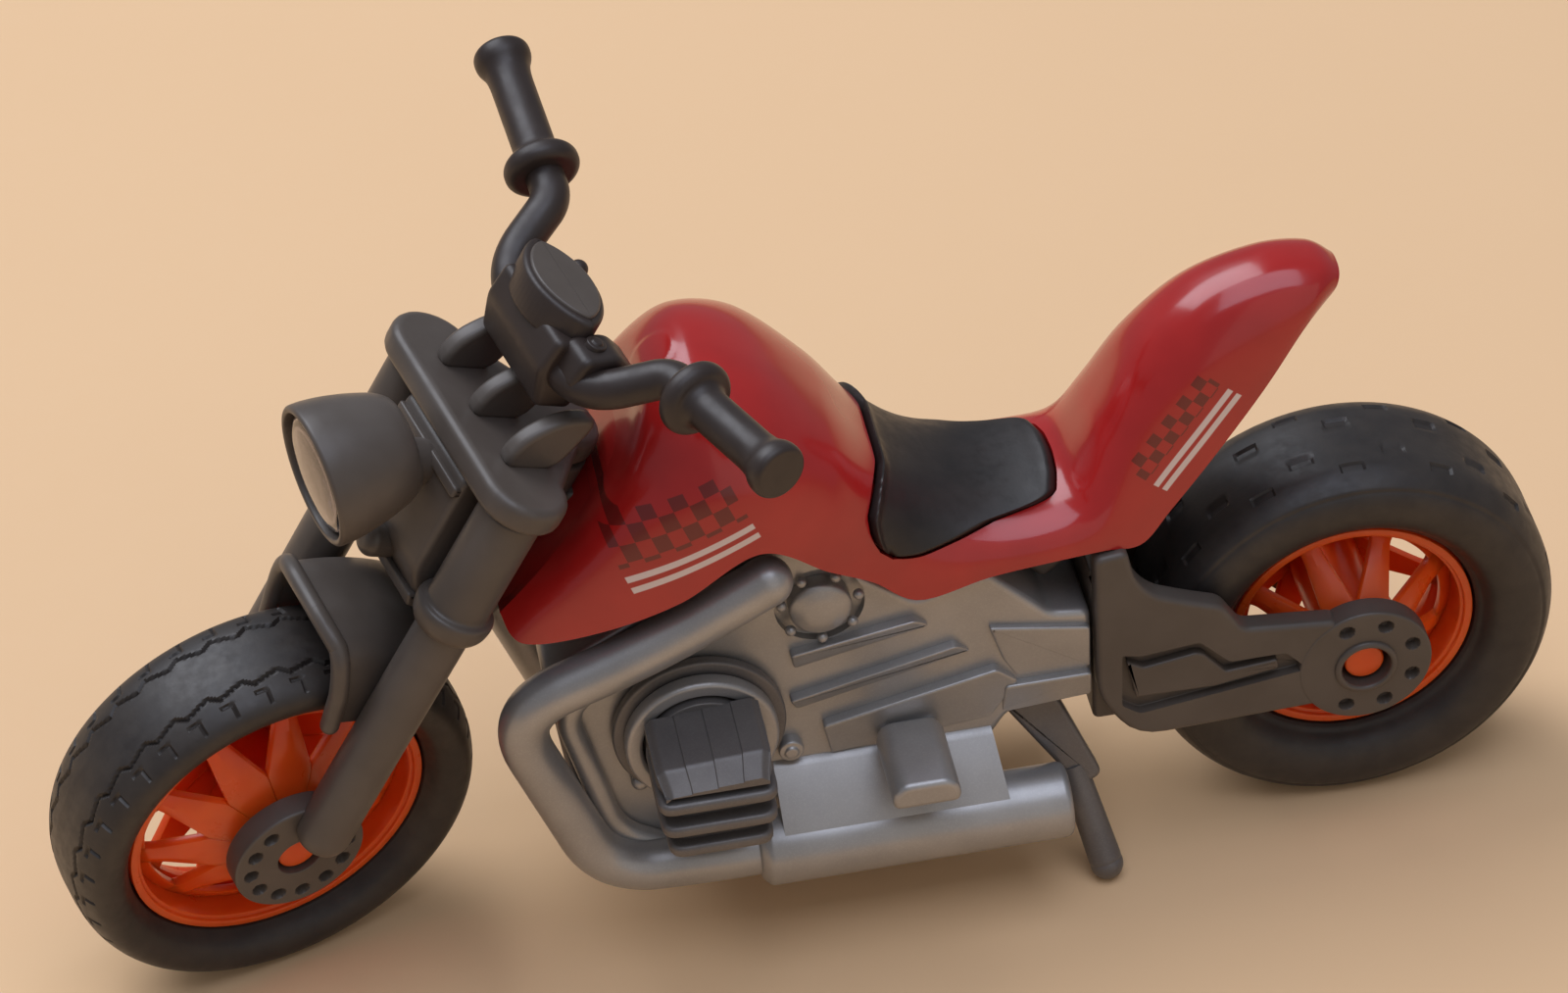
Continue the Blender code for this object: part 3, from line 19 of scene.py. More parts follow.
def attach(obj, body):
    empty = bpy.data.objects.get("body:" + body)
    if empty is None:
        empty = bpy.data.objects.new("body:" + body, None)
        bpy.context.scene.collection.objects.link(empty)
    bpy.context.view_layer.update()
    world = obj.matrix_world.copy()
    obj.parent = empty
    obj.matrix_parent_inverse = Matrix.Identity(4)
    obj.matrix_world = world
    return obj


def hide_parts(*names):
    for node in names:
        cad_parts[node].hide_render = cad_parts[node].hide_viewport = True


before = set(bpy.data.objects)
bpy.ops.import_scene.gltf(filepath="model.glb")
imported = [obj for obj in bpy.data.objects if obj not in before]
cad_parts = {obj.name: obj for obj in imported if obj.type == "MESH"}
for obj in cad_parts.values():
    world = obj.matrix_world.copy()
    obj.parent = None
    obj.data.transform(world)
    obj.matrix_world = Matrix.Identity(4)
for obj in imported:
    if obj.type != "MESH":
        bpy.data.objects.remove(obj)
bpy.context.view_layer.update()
LOG = logging.getLogger("toy_motorcycle")

Pair = tuple[float, float]
Pairs = tuple[Pair, ...]
Place = tuple[float, float, float]

MM = 0.001
PER_METRE = 1000.0
GAP = 0.3
FULL_TURN = 2.0 * math.pi
ARC_POINTS = 13
EDGE_POINTS = 5
FACE_BORDER = 0.08
LONGEST_EASE = 0.48
SHARPEST_MITRE = 0.6
SMALLEST_RADIUS = 0.02
SMALLEST_LENGTH = 1e-9
SHARP_DEGREES = 33.0
MIX_SHARE, MIX_FIRST, MIX_SECOND, MIX_RESULT = 0, 6, 7, 2


class Plane(Enum):
    """Plane in which a plate's outline is drawn; the plate is thick across it."""

    SIDE = "xz"
    TOP = "xy"


class Tread(Enum):
    """Moulded pattern of a tyre."""

    ZIGZAG = "zigzag grooves with shoulder sipes"
    STEPPED = "step ring with sparse dimples"


class Body(Enum):
    """Moving bodies of the part."""

    CHASSIS = "chassis"
    STEERING = "steering"
    FRONT_WHEEL = "front_wheel"
    REAR_WHEEL = "rear_wheel"
    SIDE_STAND = "side_stand"


class Side(Enum):
    """The rider's left and right, as the sign of y."""

    LEFT = 1
    RIGHT = -1

    def name_of(self, stem: str) -> str:
        """Returns the stem with the side's name added."""
        return f"{stem}_{self.name.lower()}"


# Surfaces


@dataclass(frozen=True)
class Surface:
    """Points in millimetres, the quads that join them and further flat faces of any size."""

    points: np.ndarray
    quads: np.ndarray
    flats: tuple[np.ndarray, ...] = ()

    def volume(self) -> float:
        """Returns the enclosed volume, summed from signed tetrahedra between the origin and each face."""
        fans = [np.stack([np.full(len(f) - 2, f[0]), f[1:-1], f[2:]], axis=1) for f in self.flats]
        triangles = np.concatenate([self.quads[:, [0, 1, 2]], self.quads[:, [0, 2, 3]], *fans])
        a, b, c = (self.points[triangles[:, corner]] for corner in range(3))
        return float(np.einsum("ij,ij->", a, np.cross(b, c)) / 6.0)

    def outward(self) -> "Surface":
        """Returns the surface with its faces pointing out: turned round where its volume is negative."""
        if self.volume() >= 0.0:
            return self
        return Surface(self.points, self.quads[:, ::-1], tuple(f[::-1] for f in self.flats))

    def moved(self, matrix: np.ndarray) -> "Surface":
        """Returns the surface carried by a 4 by 4 matrix."""
        return Surface(self.points @ matrix[:3, :3].T + matrix[:3, 3], self.quads, self.flats).outward()

    def mirrored(self) -> "Surface":
        """Returns the surface mirrored to the other side of the bike."""
        return Surface(self.points * np.array([1.0, -1.0, 1.0]), self.quads, self.flats).outward()

    def on(self, side: Side) -> "Surface":
        """Returns a surface drawn on the left, on the given side."""
        return self if side is Side.LEFT else self.mirrored()


def shift(x: float, y: float, z: float) -> np.ndarray:
    """Returns the matrix that moves by x, y and z."""
    matrix = np.eye(4)
    matrix[:3, 3] = (x, y, z)
    return matrix


def turn(axis: str, degrees: float) -> np.ndarray:
    """Returns the right-handed rotation about one axis.

    Args:
        axis: "x", "y" or "z".
        degrees: Angle of the turn.

    Returns:
        A 4 by 4 matrix.
    """
    first, second = {"x": (1, 2), "y": (2, 0), "z": (0, 1)}[axis]
    cosine, sine = math.cos(math.radians(degrees)), math.sin(math.radians(degrees))
    matrix = np.eye(4)
    matrix[first, first] = matrix[second, second] = cosine
    matrix[first, second], matrix[second, first] = -sine, sine
    return matrix


def aimed(start: Sequence[float], direction: Sequence[float]) -> np.ndarray:
    """Returns the frame at a point whose z axis lies along a direction.

    Args:
        start: Origin of the frame.
        direction: Direction of its z axis, of any length.

    Returns:
        A 4 by 4 matrix.
    """
    along = np.asarray(direction, dtype=float)
    along = along / np.linalg.norm(along)
    helper = np.array([1.0, 0.0, 0.0]) if abs(along[0]) < 0.9 else np.array([0.0, 1.0, 0.0])
    across = np.cross(helper, along)
    across = across / np.linalg.norm(across)
    matrix = shift(*start)
    matrix[:3, :3] = np.stack([across, np.cross(along, across), along], axis=1)
    return matrix


def smooth_step(value: np.ndarray, low: float, high: float) -> np.ndarray:
    """Returns 0 below low, 1 above high and the cubic 3t^2 - 2t^3 between them."""
    t = np.clip((value - low) / (high - low), 0.0, 1.0)
    return t * t * (3.0 - 2.0 * t)


def eased(corners: Sequence[Sequence[float]], reach: float | Sequence[float], steps: int = 6,
          closed: bool = False) -> np.ndarray:
    """Rounds the corners of a path with quadratic curves.

    Each corner gives way to the curve that starts reach before it, ends reach after it and is pulled
    towards it: (1-t)^2 start + 2t(1-t) corner + t^2 end.

    Args:
        corners: Points of the path, in two or three dimensions.
        reach: How far along each edge a rounding goes, for all corners or each one.
        steps: Points on each rounding.
        closed: Whether the last point joins the first.

    Returns:
        The points of the rounded path.
    """
    corner = np.asarray(corners, dtype=float)
    back = np.roll(corner, 1, axis=0) - corner
    ahead = np.roll(corner, -1, axis=0) - corner
    back_length = np.linalg.norm(back, axis=1, keepdims=True)
    ahead_length = np.linalg.norm(ahead, axis=1, keepdims=True)
    wanted = np.broadcast_to(np.asarray(reach, dtype=float), (len(corner),))[:, None]
    used = np.minimum(wanted, LONGEST_EASE * np.minimum(back_length, ahead_length))
    start = (corner + back / back_length * used)[:, None]
    end = (corner + ahead / ahead_length * used)[:, None]
    t = np.linspace(0.0, 1.0, steps)[None, :, None]
    curve = (1 - t) ** 2 * start + 2 * t * (1 - t) * corner[:, None] + t ** 2 * end
    if closed:
        return curve.reshape(-1, corner.shape[1])
    inner = curve[1:-1].reshape(-1, corner.shape[1])
    return np.concatenate([corner[:1], inner, corner[-1:]])


def through(values: np.ndarray, place: np.ndarray) -> np.ndarray:
    """Reads rows of values at fractional places on the smooth curve through them.

    The curve is the Catmull-Rom cubic: at each row its slope is half the step between its neighbours.

    Args:
        values: Rows of values.
        place: Row numbers, whole or fractional, in an array of any shape.

    Returns:
        An array of place's shape with one more axis for the values.
    """
    last = len(values) - 1
    index = np.clip(np.floor(place).astype(int), 0, last - 1)
    t = (place - index)[..., None]
    a, b, c, d = (values[np.clip(index + step, 0, last)] for step in (-1, 0, 1, 2))
    square, cube = 2 * a - 5 * b + 4 * c - d, 3 * b - a - 3 * c + d
    return 0.5 * (2 * b + (c - a) * t + square * t ** 2 + cube * t ** 3)


def both_sides(half: Sequence[Sequence[float]]) -> np.ndarray:
    """Returns a path of (first, second) followed backwards by its mirror image, (first, -second)."""
    path = np.asarray(half, dtype=float)
    return np.concatenate([path, path[::-1] * np.array([1.0, -1.0])])


def skin(rows: np.ndarray, loop: bool = False) -> Surface:
    """Joins closed rings of points into a surface.

    Point j of ring i meets points j and j+1 of ring i+1.

    Args:
        rows: Array of rings by points by three.
        loop: Whether the last ring joins the first; otherwise flat faces close both.

    Returns:
        The surface, with its faces outward.
    """
    count, size = rows.shape[:2]
    i = np.arange(count if loop else count - 1)[:, None]
    j = np.arange(size)[None, :]
    row, next_row, next_j = i * size, (i + 1) % count * size, (j + 1) % size
    quads = np.stack([row + j, row + next_j, next_row + next_j, next_row + j], axis=-1)
    flats = () if loop else (np.arange(size)[::-1], (count - 1) * size + np.arange(size))
    return Surface(rows.reshape(-1, 3), quads.reshape(-1, 4), flats).outward()


def turned_rows(profile: np.ndarray, steps: int) -> np.ndarray:
    """Returns the rings of a profile of (radius, height) turned about z: (r cos a, r sin a, h)."""
    angle = np.linspace(0.0, FULL_TURN, steps, endpoint=False)[None, :]
    radius, height = profile[:, :1], profile[:, 1:]
    return np.stack([radius * np.cos(angle), radius * np.sin(angle), height + 0.0 * angle], axis=-1)


def turned(corners: Sequence[Sequence[float]], reach: float = 0.2, steps: int = 64,
           loop: bool = False) -> Surface:
    """Turns a rounded profile about the z axis.

    Args:
        corners: (radius, height) points; an open profile starts and ends at the axis.
        reach: Rounding of the profile's corners.
        steps: Points round the axis.
        loop: Whether the profile is a closed loop, for a ring.

    Returns:
        The closed surface.
    """
    profile = eased(corners, reach, EDGE_POINTS, closed=loop)
    profile[:, 0] = np.maximum(profile[:, 0], SMALLEST_RADIUS)
    return skin(turned_rows(profile, steps), loop=loop)


def swept(path: np.ndarray, radius: np.ndarray | float, reference: Sequence[float],
          sides: int = 32) -> Surface:
    """Carries a circle along a path.

    Each ring lies across the path's tangent T, in the directions T x reference and T x (T x reference).

    Args:
        path: Points of the path.
        radius: Radius of the tube, for all points or each one.
        reference: A direction that the path never follows.
        sides: Points round the tube.

    Returns:
        The closed tube.
    """
    tangent = np.gradient(path, axis=0)
    tangent = tangent / np.linalg.norm(tangent, axis=1, keepdims=True)
    first = np.cross(tangent, np.asarray(reference, dtype=float))
    first = first / np.linalg.norm(first, axis=1, keepdims=True)
    second = np.cross(tangent, first)
    angle = np.linspace(0.0, FULL_TURN, sides, endpoint=False)[None, :, None]
    size = np.broadcast_to(np.asarray(radius, dtype=float), (len(path),))[:, None, None]
    ring = np.cos(angle) * first[:, None] + np.sin(angle) * second[:, None]
    return skin(path[:, None] + size * ring)


def inset(outline: np.ndarray, amount: float) -> np.ndarray:
    """Moves each point of a closed outline inwards along the mean of its two edges' normals.

    Args:
        outline: Points of the outline, either way round.
        amount: Distance from the edges.

    Returns:
        The moved points.
    """
    before = outline - np.roll(outline, 1, axis=0)
    after = np.roll(outline, -1, axis=0) - outline
    before = before / np.maximum(np.linalg.norm(before, axis=1, keepdims=True), SMALLEST_LENGTH)
    after = after / np.maximum(np.linalg.norm(after, axis=1, keepdims=True), SMALLEST_LENGTH)
    x, y = outline.T
    way = math.copysign(1.0, float(np.sum(x * np.roll(y, -1) - np.roll(x, -1) * y)))
    normal = way * np.stack([-(before + after)[:, 1], (before + after)[:, 0]], axis=1)
    length = np.maximum(np.linalg.norm(normal, axis=1, keepdims=True), SMALLEST_LENGTH)
    return outline + amount * normal / length / np.maximum(length / 2.0, SHARPEST_MITRE)


def plate(corners: Sequence[Sequence[float]], low: float, high: float, edge: float = 0.5,
          corner: float | Sequence[float] = 0.8, plane: Plane = Plane.SIDE) -> Surface:
    """Makes a flat plate with rounded corners and quarter-round edges.

    Rings of the outline are set in by edge (1 - sin a) at a depth of edge (1 - cos a) from each face, and
    one more ring just inside keeps each face flat to its border.

    Args:
        corners: Outline in the plane.
        low: Position of one face across the plane.
        high: Position of the other face.
        edge: Radius of the edges.
        corner: Rounding of the outline's corners, for all of them or each one.
        plane: Plane of the outline.

    Returns:
        The closed plate.
    """
    outline = eased(corners, corner, EDGE_POINTS, closed=True)
    angle = np.linspace(0.0, math.pi / 2, EDGE_POINTS)
    ins = np.concatenate([[edge + FACE_BORDER], edge * (1.0 - np.sin(angle))])
    depth = np.concatenate([[0.0], edge * (1.0 - np.cos(angle))])
    ins = np.concatenate([ins, ins[::-1]])
    level = np.concatenate([low + depth, (high - depth)[::-1]])
    rings = np.stack([inset(outline, amount) for amount in ins])
    across = np.broadcast_to(level[:, None], rings.shape[:2])
    first, second = rings[..., 0], rings[..., 1]
    parts = [first, across, second] if plane is Plane.SIDE else [first, second, across]
    return skin(np.stack(parts, axis=-1))


def walled(top: np.ndarray, under: np.ndarray) -> Surface:
    """Joins an outer and an inner grid into one closed wall: each ring runs out over one and back."""
    return skin(np.concatenate([top, under[:, ::-1]], axis=1))


def ball(centre: Sequence[float], radius: float) -> Surface:
    """Returns a sphere: circles of radius r sin a at heights r cos a, with a small flat at each pole."""
    angle = np.linspace(SMALLEST_RADIUS, math.pi - SMALLEST_RADIUS, 24)
    profile = np.stack([radius * np.sin(angle), radius * np.cos(angle)], axis=1)
    return skin(turned_rows(profile, 32)).moved(shift(*centre))


def drilled_disc(radius: float, bore: float, thick: float, hole_angles: np.ndarray, hole: float = 0.68,
                 depth: float = 1.0, inwards: float = 1.65, soft: float = 0.10) -> Surface:
    """Makes a wheel disc about z with a through bore and a ring of blind holes in its upper face.

    The profile is turned, and the face sinks by a smooth step of the distance to the nearest hole.

    Args:
        radius: Outer radius.
        bore: Radius of the bore.
        thick: Thickness, from z = 0 up.
        hole_angles: Angles of the holes in radians.
        hole: Radius of a hole.
        depth: Depth of a hole.
        inwards: Distance of the holes' middles from the rim.
        soft: Half the width of a hole's soft edge.

    Returns:
        The closed ring.
    """
    face_radius = np.linspace(bore + 0.3, radius - 0.6, 44)
    face = np.stack([face_radius, np.full_like(face_radius, thick)], axis=1)
    corners = np.array([[radius - 0.02, thick - 0.02], [radius, 0.02], [bore, 0.0], [bore, thick - 0.02]])
    rest = eased(np.concatenate([face[-1:], corners, face[:1]]), [0.0, 0.45, 0.3, 0.15, 0.2, 0.0], 6)
    rows = turned_rows(np.concatenate([face, rest[1:-1]]), 192)
    centres = (radius - inwards) * np.stack([np.cos(hole_angles), np.sin(hole_angles)], axis=1)
    away = np.linalg.norm(rows[:, :, None, :2] - centres, axis=-1).min(axis=-1)
    sink = depth * (1.0 - smooth_step(away, hole - soft, hole + soft))
    rows[..., 2] -= np.where(rows[..., 2] > thick - 0.001, sink, 0.0)
    return skin(rows, loop=True)


def make_mesh(name: str, surfaces: Sequence[Surface]) -> bpy.types.Mesh:
    """Puts surfaces into one mesh, in metres, smooth apart from its sharp edges.

    Args:
        name: Name of the mesh.
        surfaces: Closed surfaces in millimetres.

    Returns:
        The mesh.
    """
    starts = np.cumsum([0] + [len(s.points) for s in surfaces])
    faces: list[list[int]] = []
    for start, surface in zip(starts, surfaces):
        faces += (surface.quads + start).tolist()
        faces += [(flat + start).tolist() for flat in surface.flats]
    mesh = bpy.data.meshes.new(name)
    mesh.from_pydata(np.concatenate([s.points for s in surfaces]) * MM, [], faces)
    mesh.update()
    mesh.shade_smooth()
    mesh.set_sharp_from_angle(angle=math.radians(SHARP_DEGREES))
    return mesh


def carved(blank: Surface, tools: Sequence[Surface]) -> Surface:
    """Cuts tools out of a closed surface.

    Args:
        blank: Surface to cut.
        tools: Closed surfaces to take away.

    Returns:
        The cut surface, with all its faces as flats.
    """
    holder = bpy.data.objects.new("blank", make_mesh("blank", [blank]))
    bpy.context.scene.collection.objects.link(holder)
    cutters = []
    for tool in tools:
        cutter = bpy.data.objects.new("cutter", make_mesh("cutter", [tool]))
        bpy.context.scene.collection.objects.link(cutter)
        cut = holder.modifiers.new("cut", "BOOLEAN")
        cut.object, cut.operation, cut.solver = cutter, "DIFFERENCE", "EXACT"
        cutters.append(cutter)
    mesh = bpy.data.meshes.new_from_object(holder.evaluated_get(bpy.context.evaluated_depsgraph_get()))
    points = np.empty(len(mesh.vertices) * 3)
    mesh.vertices.foreach_get("co", points)
    corners = np.empty(len(mesh.loops), dtype=int)
    mesh.loops.foreach_get("vertex_index", corners)
    starts = np.empty(len(mesh.polygons), dtype=int)
    mesh.polygons.foreach_get("loop_start", starts)
    flats = tuple(np.split(corners, starts[1:]))
    for used in (holder, *cutters):
        data = used.data
        bpy.data.objects.remove(used)
        bpy.data.meshes.remove(data)
    bpy.data.meshes.remove(mesh)
    return Surface(points.reshape(-1, 3) / MM, np.empty((0, 4), dtype=int), flats)


# Finishes


def linear(hexed: str) -> tuple[float, float, float, float]:
    """Turns an sRGB hex colour such as "#A8201F" into linear red, green, blue and alpha."""
    share = np.array([int(hexed[i:i + 2], 16) for i in (1, 3, 5)]) / 255.0
    value = np.where(share <= 0.04045, share / 12.92, ((share + 0.055) / 1.055) ** 2.4)
    return (*(float(v) for v in value), 1.0)


def add_node(tree: bpy.types.NodeTree, kind: str, settings: Mapping[str | int, object]) -> bpy.types.Node:
    """Adds a node with its settings and links.

    Args:
        tree: Node tree to add to.
        kind: Blender's name of the node type.
        settings: Property names, or socket names or numbers, with values; a socket as a value is linked.

    Returns:
        The node.
    """
    node = tree.nodes.new(kind)
    for key, value in settings.items():
        if isinstance(key, str) and key in node.bl_rna.properties:
            setattr(node, key, value)
        elif isinstance(value, bpy.types.NodeSocket):
            tree.links.new(value, node.inputs[key])
        else:
            node.inputs[key].default_value = value
    return node


@dataclass(frozen=True)
class Moulding:
    """A moulded plastic: two close colours that drift, a gloss that drifts and a fine surface grain."""

    name: str
    slot: str
    colour: str
    drift: str
    roughness: Pair
    drift_mm: float = 9.0
    grain_mm: float = 0.5
    grain_depth_mm: float = 0.010
    metallic: float = 0.0
    coat: float = 0.0

    def base_colour(self, tree: bpy.types.NodeTree, place: bpy.types.NodeSocket) -> bpy.types.NodeSocket:
        """Adds the colour: a slow drift between two close shades, as pigment flows in a mould.

        Args:
            tree: Node tree of the material.
            place: Object coordinates.

        Returns:
            The colour socket.
        """
        cloud = add_node(tree, "ShaderNodeTexNoise",
                         {"Vector": place, "Scale": PER_METRE / self.drift_mm, "Detail": 3.0,
                          "Roughness": 0.55})
        share = add_node(tree, "ShaderNodeMapRange",
                         {"Value": cloud.outputs["Fac"], "From Min": 0.35, "From Max": 0.65})
        mixed = add_node(tree, "ShaderNodeMix",
                         {"data_type": "RGBA", MIX_SHARE: share.outputs["Result"],
                          MIX_FIRST: linear(self.colour), MIX_SECOND: linear(self.drift)})
        return mixed.outputs[MIX_RESULT]

    def material(self) -> bpy.types.Material:
        """Makes the material the first time it is asked for.

        Returns:
            The finish's one material.
        """
        known = bpy.data.materials.get(self.name)
        if known is not None:
            return known
        made = bpy.data.materials.new(self.name)
        made.use_nodes = True
        tree = made.node_tree
        tree.nodes.clear()
        place = add_node(tree, "ShaderNodeTexCoord", {}).outputs["Object"]
        colour = self.base_colour(tree, place)
        rub_mm = 4.0 * self.grain_mm
        rub = add_node(tree, "ShaderNodeTexNoise",
                       {"Vector": place, "Scale": PER_METRE / rub_mm, "Detail": 4.0, "Roughness": 0.6})
        gloss = add_node(tree, "ShaderNodeMapRange",
                         {"Value": rub.outputs["Fac"], "From Min": 0.3, "From Max": 0.7,
                          "To Min": self.roughness[0], "To Max": self.roughness[1]})
        grain = add_node(tree, "ShaderNodeTexNoise",
                         {"Vector": place, "Scale": PER_METRE / self.grain_mm, "Detail": 2.0,
                          "Roughness": 0.5})
        bump = add_node(tree, "ShaderNodeBump",
                        {"Height": grain.outputs["Fac"], "Strength": 0.6,
                         "Distance": self.grain_depth_mm * MM})
        shader = add_node(tree, "ShaderNodeBsdfPrincipled",
                          {"Base Color": colour, "Roughness": gloss.outputs["Result"],
                           "Normal": bump.outputs["Normal"], "Metallic": self.metallic,
                           "Coat Weight": self.coat, "Coat Roughness": 0.08})
        self.finish_shader(shader)
        add_node(tree, "ShaderNodeOutputMaterial", {"Surface": shader.outputs["BSDF"]})
        return made

    def finish_shader(self, shader: bpy.types.Node) -> None:
        """Sets what a special finish needs on the shader; a plain moulding needs nothing more."""


@dataclass(frozen=True)
class PrintBand:
    """One place of the print: pinstripes and a checked band beside them, turned in the side view."""

    lean: float
    along: Pair
    stripes: tuple[float, ...]
    checks: Pair
    check_mm: float


@dataclass(frozen=True)
class PrintedShell(Moulding):
    """Gloss red ABS with a two-colour pad print on its flanks."""

    pale: str = "#D9C6C2"
    deep: str = "#6E1B19"
    stripe_half_mm: float = 0.28
    soft_mm: float = 0.08
    bands: tuple[PrintBand, ...] = ()

    def within(self, tree: bpy.types.NodeTree, value: bpy.types.NodeSocket, low: float,
               high: float) -> bpy.types.NodeSocket:
        """Adds a mask that is 1 between two millimetre marks and falls to 0 over a soft print edge.

        Args:
            tree: Node tree of the material.
            value: Coordinate in metres.
            low: First mark.
            high: Last mark.

        Returns:
            The mask socket.
        """
        middle, half = (low + high) / 2 * MM, (high - low) / 2 * MM
        off = add_node(tree, "ShaderNodeMath", {"operation": "SUBTRACT", 0: value, 1: middle})
        far = add_node(tree, "ShaderNodeMath", {"operation": "ABSOLUTE", 0: off.outputs[0]})
        mask = add_node(tree, "ShaderNodeMapRange",
                        {"Value": far.outputs[0], "From Min": half + self.soft_mm * MM, "From Max": half})
        return mask.outputs["Result"]

    def base_colour(self, tree: bpy.types.NodeTree, place: bpy.types.NodeSocket) -> bpy.types.NodeSocket:
        """Adds the red with its printed bands: pale pinstripes and a dark check, cut to length.

        Args:
            tree: Node tree of the material.
            place: Object coordinates.

        Returns:
            The colour socket.
        """
        colour = super().base_colour(tree, place)
        for band in self.bands:
            leaned = add_node(tree, "ShaderNodeMapping",
                              {"Vector": place, "Rotation": (0.0, math.radians(-band.lean), 0.0)})
            axes = add_node(tree, "ShaderNodeSeparateXYZ", {"Vector": leaned.outputs["Vector"]})
            length = self.within(tree, axes.outputs["X"], *band.along)
            flat = add_node(tree, "ShaderNodeCombineXYZ", {"X": axes.outputs["X"], "Z": axes.outputs["Z"]})
            squares = add_node(tree, "ShaderNodeTexChecker",
                               {"Vector": flat.outputs["Vector"], "Scale": PER_METRE / band.check_mm,
                                "Color1": (1, 1, 1, 1), "Color2": (0, 0, 0, 1)})
            up, half = axes.outputs["Z"], self.stripe_half_mm
            checks = add_node(tree, "ShaderNodeMath",
                              {"operation": "MULTIPLY", 0: squares.outputs["Fac"],
                               1: self.within(tree, up, *band.checks)})
            layers = [(checks.outputs[0], self.deep)]
            layers += [(self.within(tree, up, mark - half, mark + half), self.pale) for mark in band.stripes]
            for mask, ink in layers:
                cut = add_node(tree, "ShaderNodeMath", {"operation": "MULTIPLY", 0: mask, 1: length})
                mixed = add_node(tree, "ShaderNodeMix",
                                 {"data_type": "RGBA", MIX_SHARE: cut.outputs[0], MIX_FIRST: colour,
                                  MIX_SECOND: linear(ink)})
                colour = mixed.outputs[MIX_RESULT]
        return colour


@dataclass(frozen=True)
class FlakedMoulding(Moulding):
    """A plastic with aluminium pigment: small bright flakes in a grey base."""

    flake: str = "#C9C6C2"
    flake_mm: float = 0.12
    flake_share: float = 0.14

    def base_colour(self, tree: bpy.types.NodeTree, place: bpy.types.NodeSocket) -> bpy.types.NodeSocket:
        """Adds the grey base with one brightness for each flake-sized cell.

        Args:
            tree: Node tree of the material.
            place: Object coordinates.

        Returns:
            The colour socket.
        """
        base = super().base_colour(tree, place)
        cells = add_node(tree, "ShaderNodeTexVoronoi", {"Vector": place, "Scale": PER_METRE / self.flake_mm})
        split = add_node(tree, "ShaderNodeSeparateColor", {"Color": cells.outputs["Color"]})
        bright = add_node(tree, "ShaderNodeMapRange",
                          {"Value": split.outputs[0], "From Min": 0.55, "From Max": 1.0,
                           "To Max": self.flake_share})
        mixed = add_node(tree, "ShaderNodeMix",
                         {"data_type": "RGBA", MIX_SHARE: bright.outputs["Result"], MIX_FIRST: base,
                          MIX_SECOND: linear(self.flake)})
        return mixed.outputs[MIX_RESULT]


@dataclass(frozen=True)
class ClearMoulding(Moulding):
    """A clear plastic that light passes, with polystyrene's index and a weaker surface reflection."""

    index: float = 1.59
    reflection: float = 0.2

    def finish_shader(self, shader: bpy.types.Node) -> None:
        """Makes the shader clear."""
        shader.inputs["Transmission Weight"].default_value = 1.0
        shader.inputs["IOR"].default_value = self.index
        shader.inputs["Specular IOR Level"].default_value = self.reflection


@dataclass(frozen=True)
class TranslucentMoulding(Moulding):
    """A thin plastic that glows where light enters from behind, red the farthest."""

    glow: float = 0.45
    glow_mm: float = 2.5
    glow_reach: Place = (1.0, 0.45, 0.12)

    def finish_shader(self, shader: bpy.types.Node) -> None:
        """Lets light travel below the surface."""
        shader.inputs["Subsurface Weight"].default_value = self.glow
        shader.inputs["Subsurface Radius"].default_value = self.glow_reach
        shader.inputs["Subsurface Scale"].default_value = self.glow_mm * MM


# Gloss injection-moulded ABS: deep even red with sharp window highlights, and a printed flank.
RED = PrintedShell(
    "gloss_red_abs_pad_printed", "red_body", "#B02220", "#A51D1C", (0.16, 0.26), grain_mm=1.6,
    grain_depth_mm=0.006, coat=0.35,
    bands=(PrintBand(22.0, (-15.5, -2.2), (51.6, 52.8), (54.0, 58.8), 1.6),
           PrintBand(50.1, (-70.0, -58.0), (2.4, 3.5), (4.7, 7.1), 1.2)),
)
# Satin-painted ABS: near black, with a soft broad sheen in patches, as if rubbed.
BLACK = Moulding("satin_black_painted_abs", "black_seat", "#1D1918", "#2A2422", (0.34, 0.52), 6.0, 0.35,
                 0.012)
# Unpainted dark grey polypropylene: warm, with a waxy half-sheen.
DARK = Moulding("moulded_dark_grey_polypropylene", "dark_frame", "#574F49", "#504842", (0.34, 0.46), 7.0, 0.6,
                0.006)
# Soft brown-black PVC: smooth, so bent bars show long highlights.
BROWN = Moulding("moulded_brown_black_pvc", "brown_bar", "#352B27", "#2D2421", (0.36, 0.50), 6.0, 0.5, 0.008)
# Silver-pigmented polypropylene: flakes too fine to show are drawn 0.12 mm wide.
SILVER = FlakedMoulding("silver_pigmented_polypropylene", "silver_engine", "#A8A6A5", "#9E9C9B", (0.33, 0.41),
                        8.0, 0.6, 0.004, metallic=0.6)
# Grey-pigmented polypropylene, darker and duller than the engine block.
GREY = FlakedMoulding("grey_pigmented_polypropylene", "grey_cylinders", "#6E6A68", "#656160", (0.36, 0.46),
                      7.0, 0.6, 0.005, metallic=0.35, flake="#8E8A86")
# Thin orange ABS with a smooth tool surface: saturated, with small sharp highlights and a glow inside.
ORANGE = TranslucentMoulding("gloss_orange_abs", "orange_rims", "#EA5C1B", "#E05216", (0.26, 0.36), 6.0, 0.9,
                             0.005)
# Moulded soft vinyl: dull warm black that drifts to a slightly dusty shade.
VINYL = Moulding("moulded_black_vinyl", "tyre", "#2B2624", "#352F2B", (0.38, 0.54), 3.0, 0.3, 0.014)
# Vacuum-metallised styrene: a dim mirror with a slight orange peel, dark behind the lens.
MIRROR = Moulding("vacuum_metallised_styrene", "reflector", "#8B868E", "#827D85", (0.20, 0.30), 5.0, 1.4,
                  0.006, metallic=1.0)
